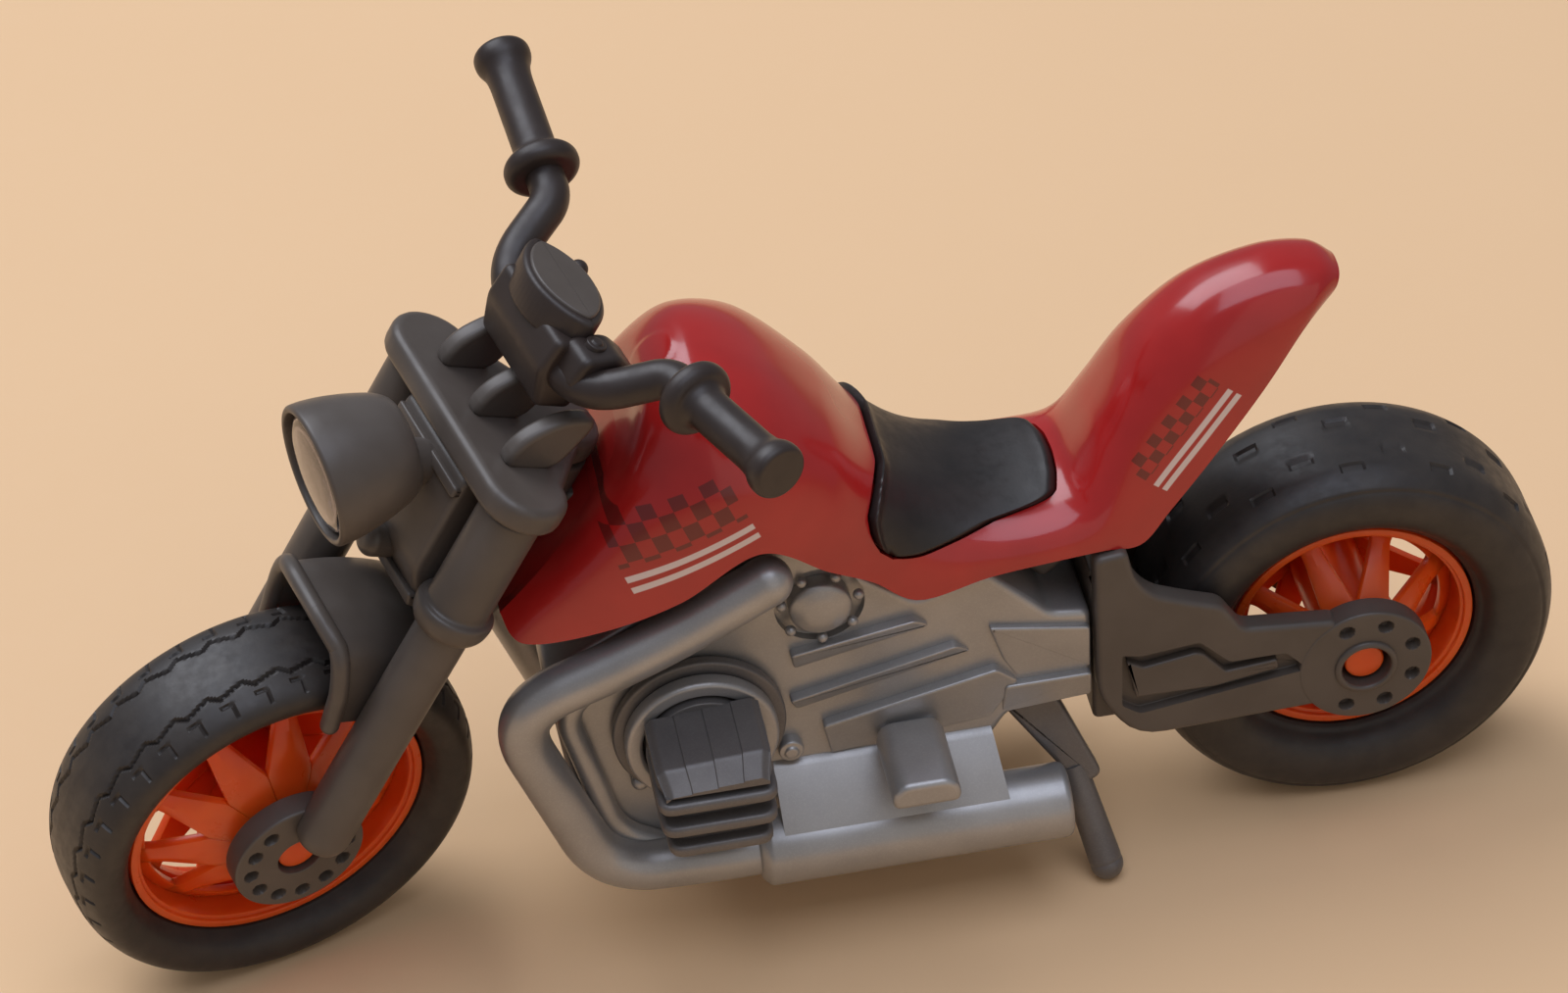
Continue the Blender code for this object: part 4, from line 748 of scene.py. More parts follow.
# Smoke-tinted clear styrene, smooth on both faces: the reflector shows dimmed through it.
CLEAR = ClearMoulding("smoke_tinted_clear_styrene", "lens", "#8E8A94", "#88848E", (0.02, 0.05), 6.0, 1.8,
                      0.003)


def make_piece(name: str, surfaces: Sequence[Surface], finish: Moulding, body: Body,
               nodes: Sequence[str]) -> None:
    """Makes one piece, dresses it and hangs it on its body.

    Args:
        name: Name of the piece.
        surfaces: Its closed surfaces.
        finish: Its finish.
        body: The body that it moves with.
        nodes: The nodes of the part that it stands for.
    """
    mesh = make_mesh(name, surfaces)
    mesh.materials.append(finish.material())
    piece = bpy.data.objects.new(name, mesh)
    bpy.context.scene.collection.objects.link(piece)
    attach(piece, body.value)
    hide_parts(*nodes)
    LOG.info("%s: %d faces on %s, finish %s", name, len(mesh.polygons), body.value, finish.name)


# Layout


@dataclass(frozen=True)
class Layout:
    """Places that the sub-assemblies share."""

    middle_x: float = 55.029
    arm_x: float = 27.2
    engine_length: float = 54.0
    crown_height: float = 57.541
    axis_x: float = 47.186
    axis_z: float = 16.826
    rake: float = 31.0
    steer: float = 19.5

    def at(self, along: float, up: float) -> Pair:
        """Returns (x, z) at shares of the engine's length and of the crown's height."""
        return self.arm_x + GAP + along * self.engine_length - self.middle_x, up * self.crown_height

    def on_arm(self, along: float, up: float) -> Pair:
        """Returns (x, z) at shares of the rear arm's length and of the crown's height."""
        return along * self.arm_x - self.middle_x, up * self.crown_height

    def steering_axis(self) -> np.ndarray:
        """Returns the frame of the steering axis, not turned."""
        return shift(self.axis_x, 0.0, self.axis_z) @ turn("y", -self.rake)

    def fork(self) -> np.ndarray:
        """Returns the fork's own frame as parked, turned to the left."""
        return self.steering_axis() @ turn("z", self.steer)


LAYOUT = Layout()


# Sub-assemblies


@dataclass
class Wheel:
    """A dished rim with triangular windows and its tyre, drawn about a y axle.

    The tyre's section holds shares of (height above the bead, half width), from the bead to the crown. On
    the tread, places are distances from the crown along the section, and each sipe or dimple is (share of
    the repeat, half length along the tread, distance from the crown, half width). A spoke's section is
    (share of the half width, height above the dish).
    """

    stem: str
    body: Body
    place: np.ndarray = field(repr=False)
    tread: Tread
    radius: float
    half: float
    rim_radius: float
    section: Pairs
    windows: int
    disc_y: float
    section_points: int = 151
    bore_points: int = 5
    round_points: int = 504
    pattern_fade: Pair = (0.3, 1.0)
    groove_soft: float = 0.12
    zigzag_count: int = 36
    zigzag_away: float = 3.0
    zigzag_swing: float = 0.75
    zigzag_drift: float = 0.72
    zigzag_half: float = 0.12
    zigzag_depth: float = 0.34
    sipes: tuple[tuple[float, ...], ...] = ((0.50, 0.09, 5.0, 0.75), (0.66, 0.55, 4.3, 0.09))
    sipe_depth: float = 0.24
    dimple_count: int = 14
    dimples: tuple[tuple[float, ...], ...] = ((0.50, 1.05, 4.5, 0.42), (0.0, 1.05, 2.3, 0.42))
    dimple_depth: float = 0.26
    ring_away: float = 7.5
    ring_half: float = 0.10
    step_away: Pair = (7.4, 7.8)
    step_depth: float = 0.16
    rim_wall: float = 1.2
    lip_width: float = 0.4
    lip_draft: float = 0.05
    lip_depth: float = 0.45
    hub_radius: float = 3.6
    axle_radius: float = 2.0
    axle_beyond: float = 2.0
    dish_middle: float = 0.75
    web_overlap: float = 0.3
    hub_overlap: float = 0.5
    barrel_overlap: float = 0.2
    spoke_points: int = 44
    spoke_width: float = 1.9
    spoke_depth: float = 1.1
    spoke_fillet: float = 0.45
    spoke_overlap: float = 0.02
    spoke_top: Pairs = (
        (-1.0, -0.28), (-0.96, -0.08), (-0.8, 0.0), (-0.4, 0.0), (0.0, 0.0), (0.4, 0.0), (0.8, 0.0),
        (0.96, -0.08), (1.0, -0.28))
    spoke_under: Pairs = ((1.0, 0.28), (0.96, 0.0), (-0.96, 0.0), (-1.0, 0.28))
    ridge: float = 0.45
    ridge_start: float = 0.5
    ridge_fade: float = 1.2

    def groove_depth(self, arc: np.ndarray, angle: np.ndarray) -> np.ndarray:
        """Gives the depth of the moulded pattern at each place of the tread.

        A groove is a smooth step of the distance from its line. The zigzag line drifts out over most of
        each repeat and jogs back; sipes and dimples are boxes with the same soft edges.

        Args:
            arc: Distance from the crown along the section, as a column.
            angle: Angle round the wheel, as a row.

        Returns:
            Depths in millimetres.
        """
        def slot(off: np.ndarray, half_width: float) -> np.ndarray:
            """Returns 1 on a line and 0 beyond its soft edge."""
            return 1.0 - smooth_step(np.abs(off), half_width, half_width + self.groove_soft)

        away = np.abs(arc)
        zigzag = self.tread is Tread.ZIGZAG
        count = self.zigzag_count if zigzag else self.dimple_count
        repeat = FULL_TURN * self.radius / count
        phase = np.mod(angle * count / FULL_TURN + np.where(arc < 0.0, 0.5, 0.0), 1.0)
        marks = np.zeros_like(phase)
        for place, half_long, far, half_wide in self.sipes if zigzag else self.dimples:
            along = np.mod(phase - place + 0.5, 1.0) - 0.5
            marks = np.maximum(marks, slot(along * repeat, half_long) * slot(away - far, half_wide))
        if zigzag:
            drift = self.zigzag_drift
            jog = np.where(phase < drift, phase / drift, (1.0 - phase) / (1.0 - drift)) - 0.5
            line = slot(away - (self.zigzag_away + self.zigzag_swing * jog), self.zigzag_half)
            return self.zigzag_depth * line + self.sipe_depth * marks
        ring = slot(away - self.ring_away, self.ring_half)
        return self.dimple_depth * marks + self.step_depth * (ring + smooth_step(away, *self.step_away))

    def tyre(self) -> Surface:
        """Builds the tyre: the smooth section turned about the axle, with the pattern pressed in.

        The section runs through its shares of height and width on a smooth curve, and each point moves
        inwards along the section's normal by the depth of the pattern.

        Returns:
            The closed tyre.
        """
        bead = self.rim_radius + GAP
        share = np.array(self.section)
        one_side = np.stack([bead + share[:, 0] * (self.radius - bead), share[:, 1] * self.half], axis=1)
        outline = both_sides(one_side)
        curve = through(outline, np.linspace(0.0, len(outline) - 1.0, self.section_points))
        curve[:, 0] = np.minimum(curve[:, 0], self.radius)
        step = np.linalg.norm(np.diff(curve, axis=0), axis=1)
        arc = np.concatenate([[0.0], np.cumsum(step)])
        arc = arc - arc[-1] / 2
        along = np.gradient(curve, axis=0)
        along = along / np.linalg.norm(along, axis=1, keepdims=True)
        inward = np.stack([along[:, 1], -along[:, 0]], axis=1)
        angle = np.linspace(0.0, FULL_TURN, self.round_points, endpoint=False)
        fade = smooth_step(arc[-1] - np.abs(arc), *self.pattern_fade)[:, None]
        depth = self.groove_depth(arc[:, None], angle[None, :]) * fade
        tread = curve[:, None] + inward[:, None] * depth[..., None]
        across = np.linspace(curve[-1, 1], curve[0, 1], self.bore_points + 2)[1:-1]
        bore = np.stack([np.full(self.bore_points, bead), across], axis=1)
        bore = np.broadcast_to(bore[:, None], (self.bore_points, self.round_points, 2))
        radius, across = np.moveaxis(np.concatenate([tread, bore]), -1, 0)
        return skin(np.stack([radius * np.sin(angle), across, radius * np.cos(angle)], axis=-1), loop=True)

    def rim(self) -> list[Surface]:
        """Builds the rim: barrel, hub with stub axles, and on each side a dish of ridged spokes.

        A spoke follows the straight line from the hub's edge to the barrel's middle. Its half width is half
        the pitch less the window's, which grows in proportion from the window's tip to its base.

        Returns:
            The closed surfaces.
        """
        inner = self.rim_radius - self.rim_wall
        shelf = inner + self.lip_width
        bead_half = self.section[0][1] * self.half
        first_step, second_step = bead_half - self.lip_depth, bead_half - 2.0 * self.lip_depth
        hub_half = self.disc_y - GAP
        axle_half = self.disc_y + self.axle_beyond
        barrel = turned(both_sides([(self.rim_radius, bead_half), (shelf, bead_half),
                                    (shelf - self.lip_draft, first_step), (inner, first_step),
                                    (inner, second_step)]), 0.15, 128, loop=True)
        hub = turned(both_sides([(0.0, axle_half), (self.axle_radius, axle_half),
                                 (self.axle_radius, hub_half), (self.hub_radius, hub_half)]), 0.25, 64)
        half_pitch = math.pi / self.windows
        base_radius = inner - 2.0 * GAP
        base = FULL_TURN * base_radius / self.windows - self.spoke_width
        window_end = base_radius * math.cos(half_pitch)
        window_tip = window_end - base * math.sqrt(3.0) / 2

        def dish(radius: np.ndarray) -> np.ndarray:
            """Returns the height of the straight line from the hub's edge to the barrel's middle."""
            share = (radius - self.hub_radius) / (inner - self.hub_radius)
            return hub_half + share * (self.dish_middle - hub_half)

        reach = np.array([window_end, inner + self.web_overlap])
        face = np.stack([reach, dish(reach)], axis=1)
        back = face[::-1] - np.array([0.0, self.spoke_depth])
        web = turned(np.concatenate([face, back]), 0.2, 128, loop=True)

        start, end = self.hub_radius - self.hub_overlap, inner + self.barrel_overlap
        radius = np.linspace(start, end, self.spoke_points)
        share = np.clip((radius - window_tip) / (window_end - window_tip), 0.0, 1.0)
        fillet = self.spoke_fillet * np.exp(-np.abs(window_end - radius) / self.spoke_fillet) * share
        half_width = radius * math.tan(half_pitch) - share * base / 2 + fillet + self.spoke_overlap
        top = np.array(self.spoke_top)
        under = np.array(self.spoke_under) - np.array([0.0, self.spoke_depth])
        across, lift = np.concatenate([top, under]).T
        roof = np.concatenate([1.0 - np.abs(top[:, 0]), np.zeros(len(under))])
        fade = 1.0 - smooth_step(radius, inner - self.ridge_fade, inner)
        rise = self.ridge * smooth_step(share, 0.0, self.ridge_start) * fade
        height = dish(radius)[:, None] + lift + rise[:, None] * roof
        outwards = np.broadcast_to(radius[:, None], height.shape)
        spoke = skin(np.stack([half_width[:, None] * across, height, outwards], axis=-1))
        pitch = 2.0 * math.degrees(half_pitch)
        spokes = [spoke.moved(turn("y", pitch * (index + 0.5))) for index in range(self.windows)]
        upright, stagger = turn("x", -90.0), turn("y", pitch / 2)
        webs = [web.moved(upright), web.moved(upright).mirrored()]
        return [barrel.moved(upright), hub.moved(upright), *webs, *spokes,
                *(s.mirrored().moved(stagger) for s in spokes)]

    def build(self) -> None:
        """Makes the tyre and the rim."""
        for kind, surfaces, finish in (("tyre", [self.tyre()], VINYL), ("rim", self.rim(), ORANGE)):
            node = f"{self.stem}_{kind}"
            make_piece(f"{node}_moulding", [s.moved(self.place) for s in surfaces], finish, self.body, [node])


@dataclass
class Fork:
    """Legs, plates, fender and stem of the steering, in the fork's frame.

    The sleeve's ring is (distance in from its radius, height above its foot), and the risers and the bridge
    are outlined in the fork's frame. The fender's arches are (radius from the axle, half width). Its front
    and rear end at angles, in degrees, that belong to the radii in fender_levels.
    """

    ahead: float = 9.4
    leg_y: float = 10.2
    leg_radius: float = 2.75
    leg_foot: float = 2.9
    toe_radius: float = 2.1
    toe_height: float = 1.4
    toe_round: float = 0.9
    sleeve_radius: float = 3.2
    sleeve_overlap: float = 0.2
    sleeve_round: float = 0.4
    ring_foot: float = 32.4
    ring_radius: float = 4.0
    ring_shape: Pairs = ((0.1, 2.6), (0.0, 2.0), (0.15, 0.9), (0.7, 0.0))
    ring_neck: float = 2.8
    disc_radius: float = 6.8
    disc_face: float = 6.6
    disc_thick: float = 2.6
    disc_holes: int = 9
    hole_room: float = 0.7
    bore: float = 2.3
    head_radius: float = 4.3
    stem_radius: float = 2.0
    bridge: Pair = (27.7, 30.9)
    bridge_flank: Pairs = ((7.4, 9.8), (6.4, 9.4), (4.4, 7.6))
    crown: Pair = (47.5, 50.5)
    crown_margin: float = 1.2
    riser_foot: Pair = (11.25, 5.0)
    riser_upper: Pairs = ((10.35, 53.7), (6.85, 56.5), (2.8, 56.7))
    riser_width: float = 2.0
    riser_spacing: float = 7.0
    fender_outer: Pairs = ((16.9, 7.6), (22.0, 7.6), (25.8, 6.6), (27.4, 3.4))
    fender_inner: Pairs = ((16.9, 6.6), (22.0, 6.6), (24.9, 5.7), (26.4, 2.9))
    fender_round: tuple[float, ...] = (0.4, 3.0, 2.4, 3.0)
    fender_levels: tuple[float, ...] = (16.9, 20.9, 25.8, 27.4)
    fender_front: tuple[float, ...] = (13.5, 13.5, 14.5, 16.5)
    fender_rear: tuple[float, ...] = (-7.0, -11.0, -18.0, -20.0)
    lip_path: Pairs = ((16.9, 7.5), (22.0, 7.5), (25.7, 6.5), (27.1, 3.3))
    lip_round: float = 3.0
    lip_radius: float = 0.95

    def put(self, name: str, surfaces: Sequence[Surface], finish: Moulding, *nodes: str) -> None:
        """Makes a piece that turns with the fork."""
        make_piece(name, [s.moved(LAYOUT.fork()) for s in surfaces], finish, Body.STEERING, nodes)

    def leg(self, side: Side) -> None:
        """Builds one leg with its drilled disc, and the sleeve over it.

        Args:
            side: Side of the leg.
        """
        top, foot, low = self.crown[0] - GAP, self.leg_foot, self.ring_foot
        place = shift(self.ahead, self.leg_y, 0.0)
        leg = turned([(0.0, foot), (self.toe_radius, foot), (self.leg_radius, foot + self.toe_height),
                      (self.leg_radius, top), (0.0, top)], self.toe_round).moved(place)
        hole_ring = self.disc_radius - 3.0 * self.hole_room
        hidden = 2.0 * math.asin((self.leg_radius + self.hole_room) / hole_ring)
        share = (np.arange(self.disc_holes) + 0.5) / self.disc_holes
        angles = math.pi / 2 + hidden / 2 + (FULL_TURN - hidden) * share
        disc = drilled_disc(self.disc_radius, self.bore, self.disc_thick, angles)
        disc = disc.moved(shift(self.ahead, self.disc_face, 0.0) @ turn("x", -90.0) @ turn("z", 180.0))
        node = side.name_of("fork_leg")
        self.put(side.name_of("fork_leg_moulding"), [leg.on(side), disc.on(side)], DARK, node)
        inside = self.leg_radius - self.sleeve_overlap
        ring = [(self.ring_radius - inwards, low + up) for inwards, up in self.ring_shape]
        sleeve = turned([(inside, top), (self.sleeve_radius, top), (self.sleeve_radius, low + self.ring_neck),
                         *ring, (inside, low)], self.sleeve_round, loop=True).moved(place)
        node = side.name_of("fork_sleeve")
        self.put(side.name_of("fork_sleeve_moulding"), [sleeve.on(side)], DARK, node)

    def boss(self) -> np.ndarray:
        """Returns the half circle behind the stem that both plates end in."""
        arc = np.linspace(0.5 * math.pi, 1.5 * math.pi, ARC_POINTS)
        return self.head_radius * np.stack([np.cos(arc), np.sin(arc)], axis=1)

    def plates(self) -> None:
        """Builds the crown with its risers and stem, and the lower bridge."""
        arc = np.linspace(0.0, math.pi, ARC_POINTS)
        eye = (self.sleeve_radius + self.crown_margin) * np.stack([np.cos(arc), np.sin(arc)], axis=1)
        left = np.array([self.ahead, self.leg_y]) + eye
        mirror = np.array([1.0, -1.0])
        outline = np.concatenate([left, self.boss(), left[::-1] * mirror])
        crown = [plate(outline, *self.crown, edge=0.9, corner=0.4, plane=Plane.TOP)]
        low, under = self.crown[1] - GAP, self.crown[0] + GAP
        front, back = self.riser_foot
        half = self.riser_width / 2
        riser = plate([(front, low), *self.riser_upper, (back, low)], -half, half, edge=0.6, corner=1.8)
        crown += [riser.moved(shift(0.0, step * self.riser_spacing, 0.0)) for step in (-1, 0, 1)]
        foot, r = self.bridge[0], self.stem_radius
        crown.append(turned([(0.0, foot), (r, foot), (r, under), (0.0, under)]))
        self.put("fork_crown_moulding", crown, DARK, "fork_crown")
        flank = np.array(self.bridge_flank)
        outline = np.concatenate([flank, self.boss(), flank[::-1] * mirror])
        bridge = plate(outline, *self.bridge, edge=0.5, corner=0.4, plane=Plane.TOP)
        self.put("fork_bridge_moulding", [bridge], DARK, "fork_bridge")

    def fender(self) -> None:
        """Builds the arched fender: a thin arch section carried round the axle, its flaps beside the tyre.

        Each radius of the section has its own first and last angle, so the flaps taper at the back. A round
        lip runs along the front edge.
        """
        def round_axle(radius: np.ndarray, across: np.ndarray, angle: np.ndarray) -> np.ndarray:
            """Returns points at a radius and an angle round the axle."""
            return np.stack([radius * np.sin(angle), across + 0.0 * angle, radius * np.cos(angle)], axis=-1)

        def end_angle(radius: np.ndarray, degrees: Sequence[float]) -> np.ndarray:
            """Returns the angle at which the fender ends at each radius."""
            return np.radians(np.interp(radius, self.fender_levels, degrees))

        arch = np.concatenate([both_sides(self.fender_outer), both_sides(self.fender_inner)[::-1]])
        rounding = [*self.fender_round, *reversed(self.fender_round)] * 2
        ring = eased(arch, rounding, 7, closed=True)
        radius, across = ring[None, :, 0], ring[None, :, 1]
        first, last = end_angle(radius, self.fender_rear), end_angle(radius, self.fender_front)
        angle = first + np.linspace(0.0, 1.0, 60)[:, None] * (last - first)
        arched = skin(round_axle(radius, across, angle))
        edge = eased(both_sides(self.lip_path), self.lip_round, 12)
        edge = through(edge, np.linspace(0.0, len(edge) - 1.0, 160))
        path = round_axle(edge[:, 0], edge[:, 1], end_angle(edge[:, 0], self.fender_front))
        lip = swept(path, self.lip_radius, (0.97, 0.0, -0.25), 20)
        ends = [ball(path[index], self.lip_radius) for index in (0, -1)]
        forward = shift(self.ahead, 0.0, 0.0)
        surfaces = [surface.moved(forward) for surface in (arched, lip, *ends)]
        self.put("front_fender_moulding", surfaces, DARK, "front_fender")

    def build(self) -> None:
        """Makes every piece of the fork."""
        for side in Side:
            self.leg(side)
        self.plates()
        self.fender()


@dataclass
class Headlight:
    """The box behind the lamp, and the bowl, reflector and lens, which face level ahead.

    The box is (back, front, low, high). Its flange, rib and lug are measured from its front and from its
    lower or upper face.
    """

    fork: Fork
    radius: float = 7.0
    wall: float = 0.9
    depth: float = 9.0
    ahead: float = 24.3
    lamp_z: float = 41.2
    box: tuple[float, float, float, float] = (4.9, 12.9, 31.2, 47.2)
    box_half: float = 6.4
    box_slope: Pair = (2.4, 4.4)
    flange_back: Pair = (1.4, 0.8)
    flange_height: float = 1.6
    flange_proud: float = 0.2
    rib_below: Pair = (2.4, 1.2)
    rib_proud: float = 0.45
    rib_inset: float = 0.1
    lug_profile: Pairs = ((0.0, 3.6), (1.0, 3.6), (1.7, 2.9), (1.7, -1.0), (0.0, -1.0))
    lug_back: float = 1.8
    lug_up: float = 2.6
    stalk_radius: float = 2.2
    stalk_drop: float = 1.06
    stalk_reach: float = 0.80
    stalk_overlap: float = 0.2

    def nacelle(self) -> None:
        """Builds the box with its foot flange, its upper rib and the lug on its front."""
        back, front, low, high = self.box
        run, rise = self.box_slope
        box = plate([(back, low), (front - run, low), (front, low + rise), (front, high), (back, high)],
                    -self.box_half, self.box_half, edge=0.7, corner=1.2)
        top, wide = low + self.flange_height, self.box_half + self.flange_proud
        foot = plate([(back, low), (front - self.flange_back[0], low), (front - self.flange_back[1], top),
                      (back, top)], -wide, wide, edge=0.4, corner=0.5)
        lug = turned(self.lug_profile, 0.6, 40)
        lug = lug.moved(shift(front - self.lug_back, 0.0, low + self.lug_up) @ turn("y", 90.0))
        (lower, upper), narrow = (high - below for below in self.rib_below), self.box_half - self.rib_inset
        nose = front + self.rib_proud
        rib = plate([(back, lower), (nose, lower), (nose, upper), (back, upper)], -narrow, narrow, edge=0.35,
                    corner=0.3)
        self.fork.put("headlight_nacelle_moulding", [box, rib, foot, lug], DARK, "headlight_nacelle")

    def lamp(self) -> None:
        """Builds the bowl with its stalk, the reflector and the lens, all turned about the lamp's axis."""
        facing = shift(self.ahead, 0.0, self.lamp_z) @ turn("y", 90.0 + LAYOUT.rake)
        rim, wall, depth = self.radius, self.wall, self.depth
        bowl = turned([(0.0, wall - depth), (rim * 0.45, 1.4 * wall - depth), (rim * 0.72, -0.55 * depth),
                       (rim - 2 * wall, -0.22 * depth), (rim - wall, -0.20 * depth), (rim - 0.8 * wall, -0.1),
                       (rim - 0.35 * wall, 0.0), (rim, -0.3), (rim, -0.16 * depth),
                       (rim * 0.97, -0.36 * depth), (rim * 0.89, -0.64 * depth), (rim * 0.77, -0.92 * depth),
                       (rim * 0.62, -1.08 * depth), (0.0, -1.08 * depth)], 1.0, 96)
        rake = math.radians(LAYOUT.rake)
        stalk_z = self.lamp_z + self.stalk_drop * depth * math.sin(rake) - self.stalk_radius
        ends = np.array([[self.box[1] - self.stalk_overlap, 0.0, stalk_z],
                         [self.ahead - self.stalk_reach * depth * math.cos(rake), 0.0, stalk_z]])
        stalk = swept(np.linspace(*ends, 8), self.stalk_radius, (0.0, 0.0, 1.0))
        self.fork.put("headlight_shell_moulding", [bowl.moved(facing), stalk], DARK, "headlight_shell")
        dish = turned([(0.0, 1.7 * wall + GAP - depth), (rim * 0.40, 2.3 * wall + GAP - depth),
                       (rim * 0.62, GAP - 0.50 * depth), (rim - 2.4 * wall, GAP - 0.22 * depth),
                       (rim - 2.0 * wall, GAP - 0.22 * depth), (rim * 0.68, GAP - 0.53 * depth),
                       (rim * 0.42, 1.4 * wall + GAP - depth), (0.0, wall + GAP - depth)], 1.2, 96)
        self.fork.put("headlight_reflector_dish", [dish.moved(facing)], MIRROR, "headlight_reflector")
        glass = rim - wall - GAP
        lens = turned([(0.0, 0.1), (glass * 0.5, 0.0), (glass * 0.85, -0.25), (glass, -0.6), (glass, -1.4),
                       (glass * 0.9, -1.3), (glass * 0.83, -0.95), (glass * 0.5, -0.7), (0.0, -0.6)], 0.8, 96)
        self.fork.put("headlight_lens_moulding", [lens.moved(facing)], CLEAR, "headlight_lens")

    def build(self) -> None:
        """Makes the box and the lamp."""
        self.nacelle()
        self.lamp()


@dataclass
class Handlebar:
    """The bent bar with its grips, and the instrument pod clamped on its middle.

    The block, clamp, screw and knob are placed by x from the bar's middle, and by the fork's y and z.
    """

    fork: Fork
    radius: float = 1.9
    middle_x: float = 7.8
    height: float = 59.9
    bend_y: float = 8.8
    bend_reach: Pair = (4.5, 2.3)
    elbow_run: float = 2.7
    grip_start: Place = (2.7, 15.2, 66.9)
    grip_along: Place = (-0.0665, 0.9777, 0.1995)
    grip_length: float = 14.6
    grip_overlap: float = 0.5
    throttle_extra: float = 0.9
    grip_radius: float = 2.1
    flange_radius: float = 3.7
    knob_radius: float = 2.8
    pod_z: float = 62.1
    pod_radius: float = 3.7
    pod_stretch: float = 1.7
    pod_height: float = 4.1
    pod_centre: Pair = (-0.3, -1.0)
    pod_point: float = 0.4
    face_share: float = 0.86
    face_thick: float = 1.0
    face_proud: float = 0.3
    block_outline: Pairs = (
        (-2.7, 55.8), (1.4, 55.8), (3.0, 60.0), (2.6, 63.7), (-2.4, 63.7), (-3.1, 60.6))
    block_y: Pair = (-6.2, 5.6)
    clamp_outline: Pairs = (
        (-4.6, 61.2), (1.6, 60.4), (1.4, 64.0), (-2.2, 64.8), (-5.2, 63.2))
    clamp_y: Pair = (4.6, 8.6)
    screw_profile: Pairs = (
        (0.0, 0.5), (0.5, 0.5), (0.6, 0.3), (1.0, 0.3), (1.1, -0.8), (0.0, -0.8))
    screw_place: Place = (-0.6, 6.4, 64.5)
    button_place: Place = (-4.6, -4.6, 64.5)
    button_root: Place = (-1.5, -3.4, 64.1)
    button_radius: float = 0.95
    button_stem: float = 0.8

    def bar(self) -> None:
        """Builds the bar: one tube along an eased path, from grip to grip."""
        start, along = np.array(self.grip_start), np.array(self.grip_along)
        corners = np.array([[self.middle_x, 0.0, self.height],
                            [self.middle_x, self.bend_y, self.height + GAP],
                            start - self.elbow_run * along, start + self.grip_overlap * along])
        half = eased(corners, [0.0, *self.bend_reach, 0.0], 16)
        path = np.concatenate([half[:0:-1] * np.array([1.0, -1.0, 1.0]), half])
        self.fork.put("handlebar_moulding", [swept(path, self.radius, (1.0, 0.0, 0.3))], BROWN, "handlebar")

    def grip(self, side: Side) -> None:
        """Builds one grip: a turned profile with a flange and an end knob.

        Args:
            side: Side of the grip; the right one is longer.
        """
        length = self.grip_length + (0.0 if side is Side.LEFT else self.throttle_extra)
        grip, knob, flange = self.grip_radius, self.knob_radius, self.flange_radius
        profile = [(0.0, length), (knob - 0.3, length), (knob, length - 0.5), (knob, length - 1.5),
                   (grip + 0.15, length - 2.6), (grip, length - 4.0), (grip, 3.2), (grip + 0.4, 2.4),
                   (flange - 0.5, 2.2), (flange, 1.6), (flange, 0.6), (flange - 0.6, 0.0), (0.0, 0.0)]
        sleeve = turned(profile, 0.6).moved(aimed(self.grip_start, self.grip_along))
        self.fork.put(side.name_of("grip_moulding"), [sleeve.on(side)], BROWN, side.name_of("grip"))

    def pod(self) -> None:
        """Builds the pod: a pointed oval case on a clamp block, its flat face, a side clamp and a button.

        Round the oval the length goes as sin a and the half width as cos a |cos a|^p, which points its ends.
        """
        angle = np.linspace(0.0, FULL_TURN, 64, endpoint=False)
        cosine = np.cos(angle)
        oval = np.stack([cosine * np.abs(cosine) ** self.pod_point, np.sin(angle)], axis=1)
        size = self.pod_radius * np.array([1.0, self.pod_stretch])
        centre = np.array([self.middle_x, 0.0]) + np.array(self.pod_centre)
        high = self.pod_z + self.pod_height
        middle = shift(self.middle_x, 0.0, 0.0)
        case = plate(oval * size + centre, self.pod_z, high - self.face_proud, 0.5, 0.05, Plane.TOP)
        block = plate(self.block_outline, *self.block_y, edge=0.7, corner=0.8).moved(middle)
        clamp = plate(self.clamp_outline, *self.clamp_y, edge=0.7, corner=0.9).moved(middle)
        screw = turned(self.screw_profile, 0.15, 32).moved(middle @ shift(*self.screw_place))
        button = ball(self.button_place, self.button_radius).moved(middle)
        stem = np.linspace(np.array(self.button_root), np.array(self.button_place), 6)
        stem = swept(stem, self.button_stem, (0.0, 0.0, 1.0)).moved(middle)
        surfaces = [case, block, clamp, screw, button, stem]
        self.fork.put("instrument_pod_moulding", surfaces, BROWN, "instrument_pod")
        outline = oval * size * self.face_share + centre
        face = plate(outline, high - self.face_thick, high, 0.25, 0.05, Plane.TOP)
        self.fork.put("instrument_face_moulding", [face], DARK, "instrument_face")

    def build(self) -> None:
        """Makes the bar, both grips and the pod."""
        self.bar()
        for side in Side:
            self.grip(side)
        self.pod()


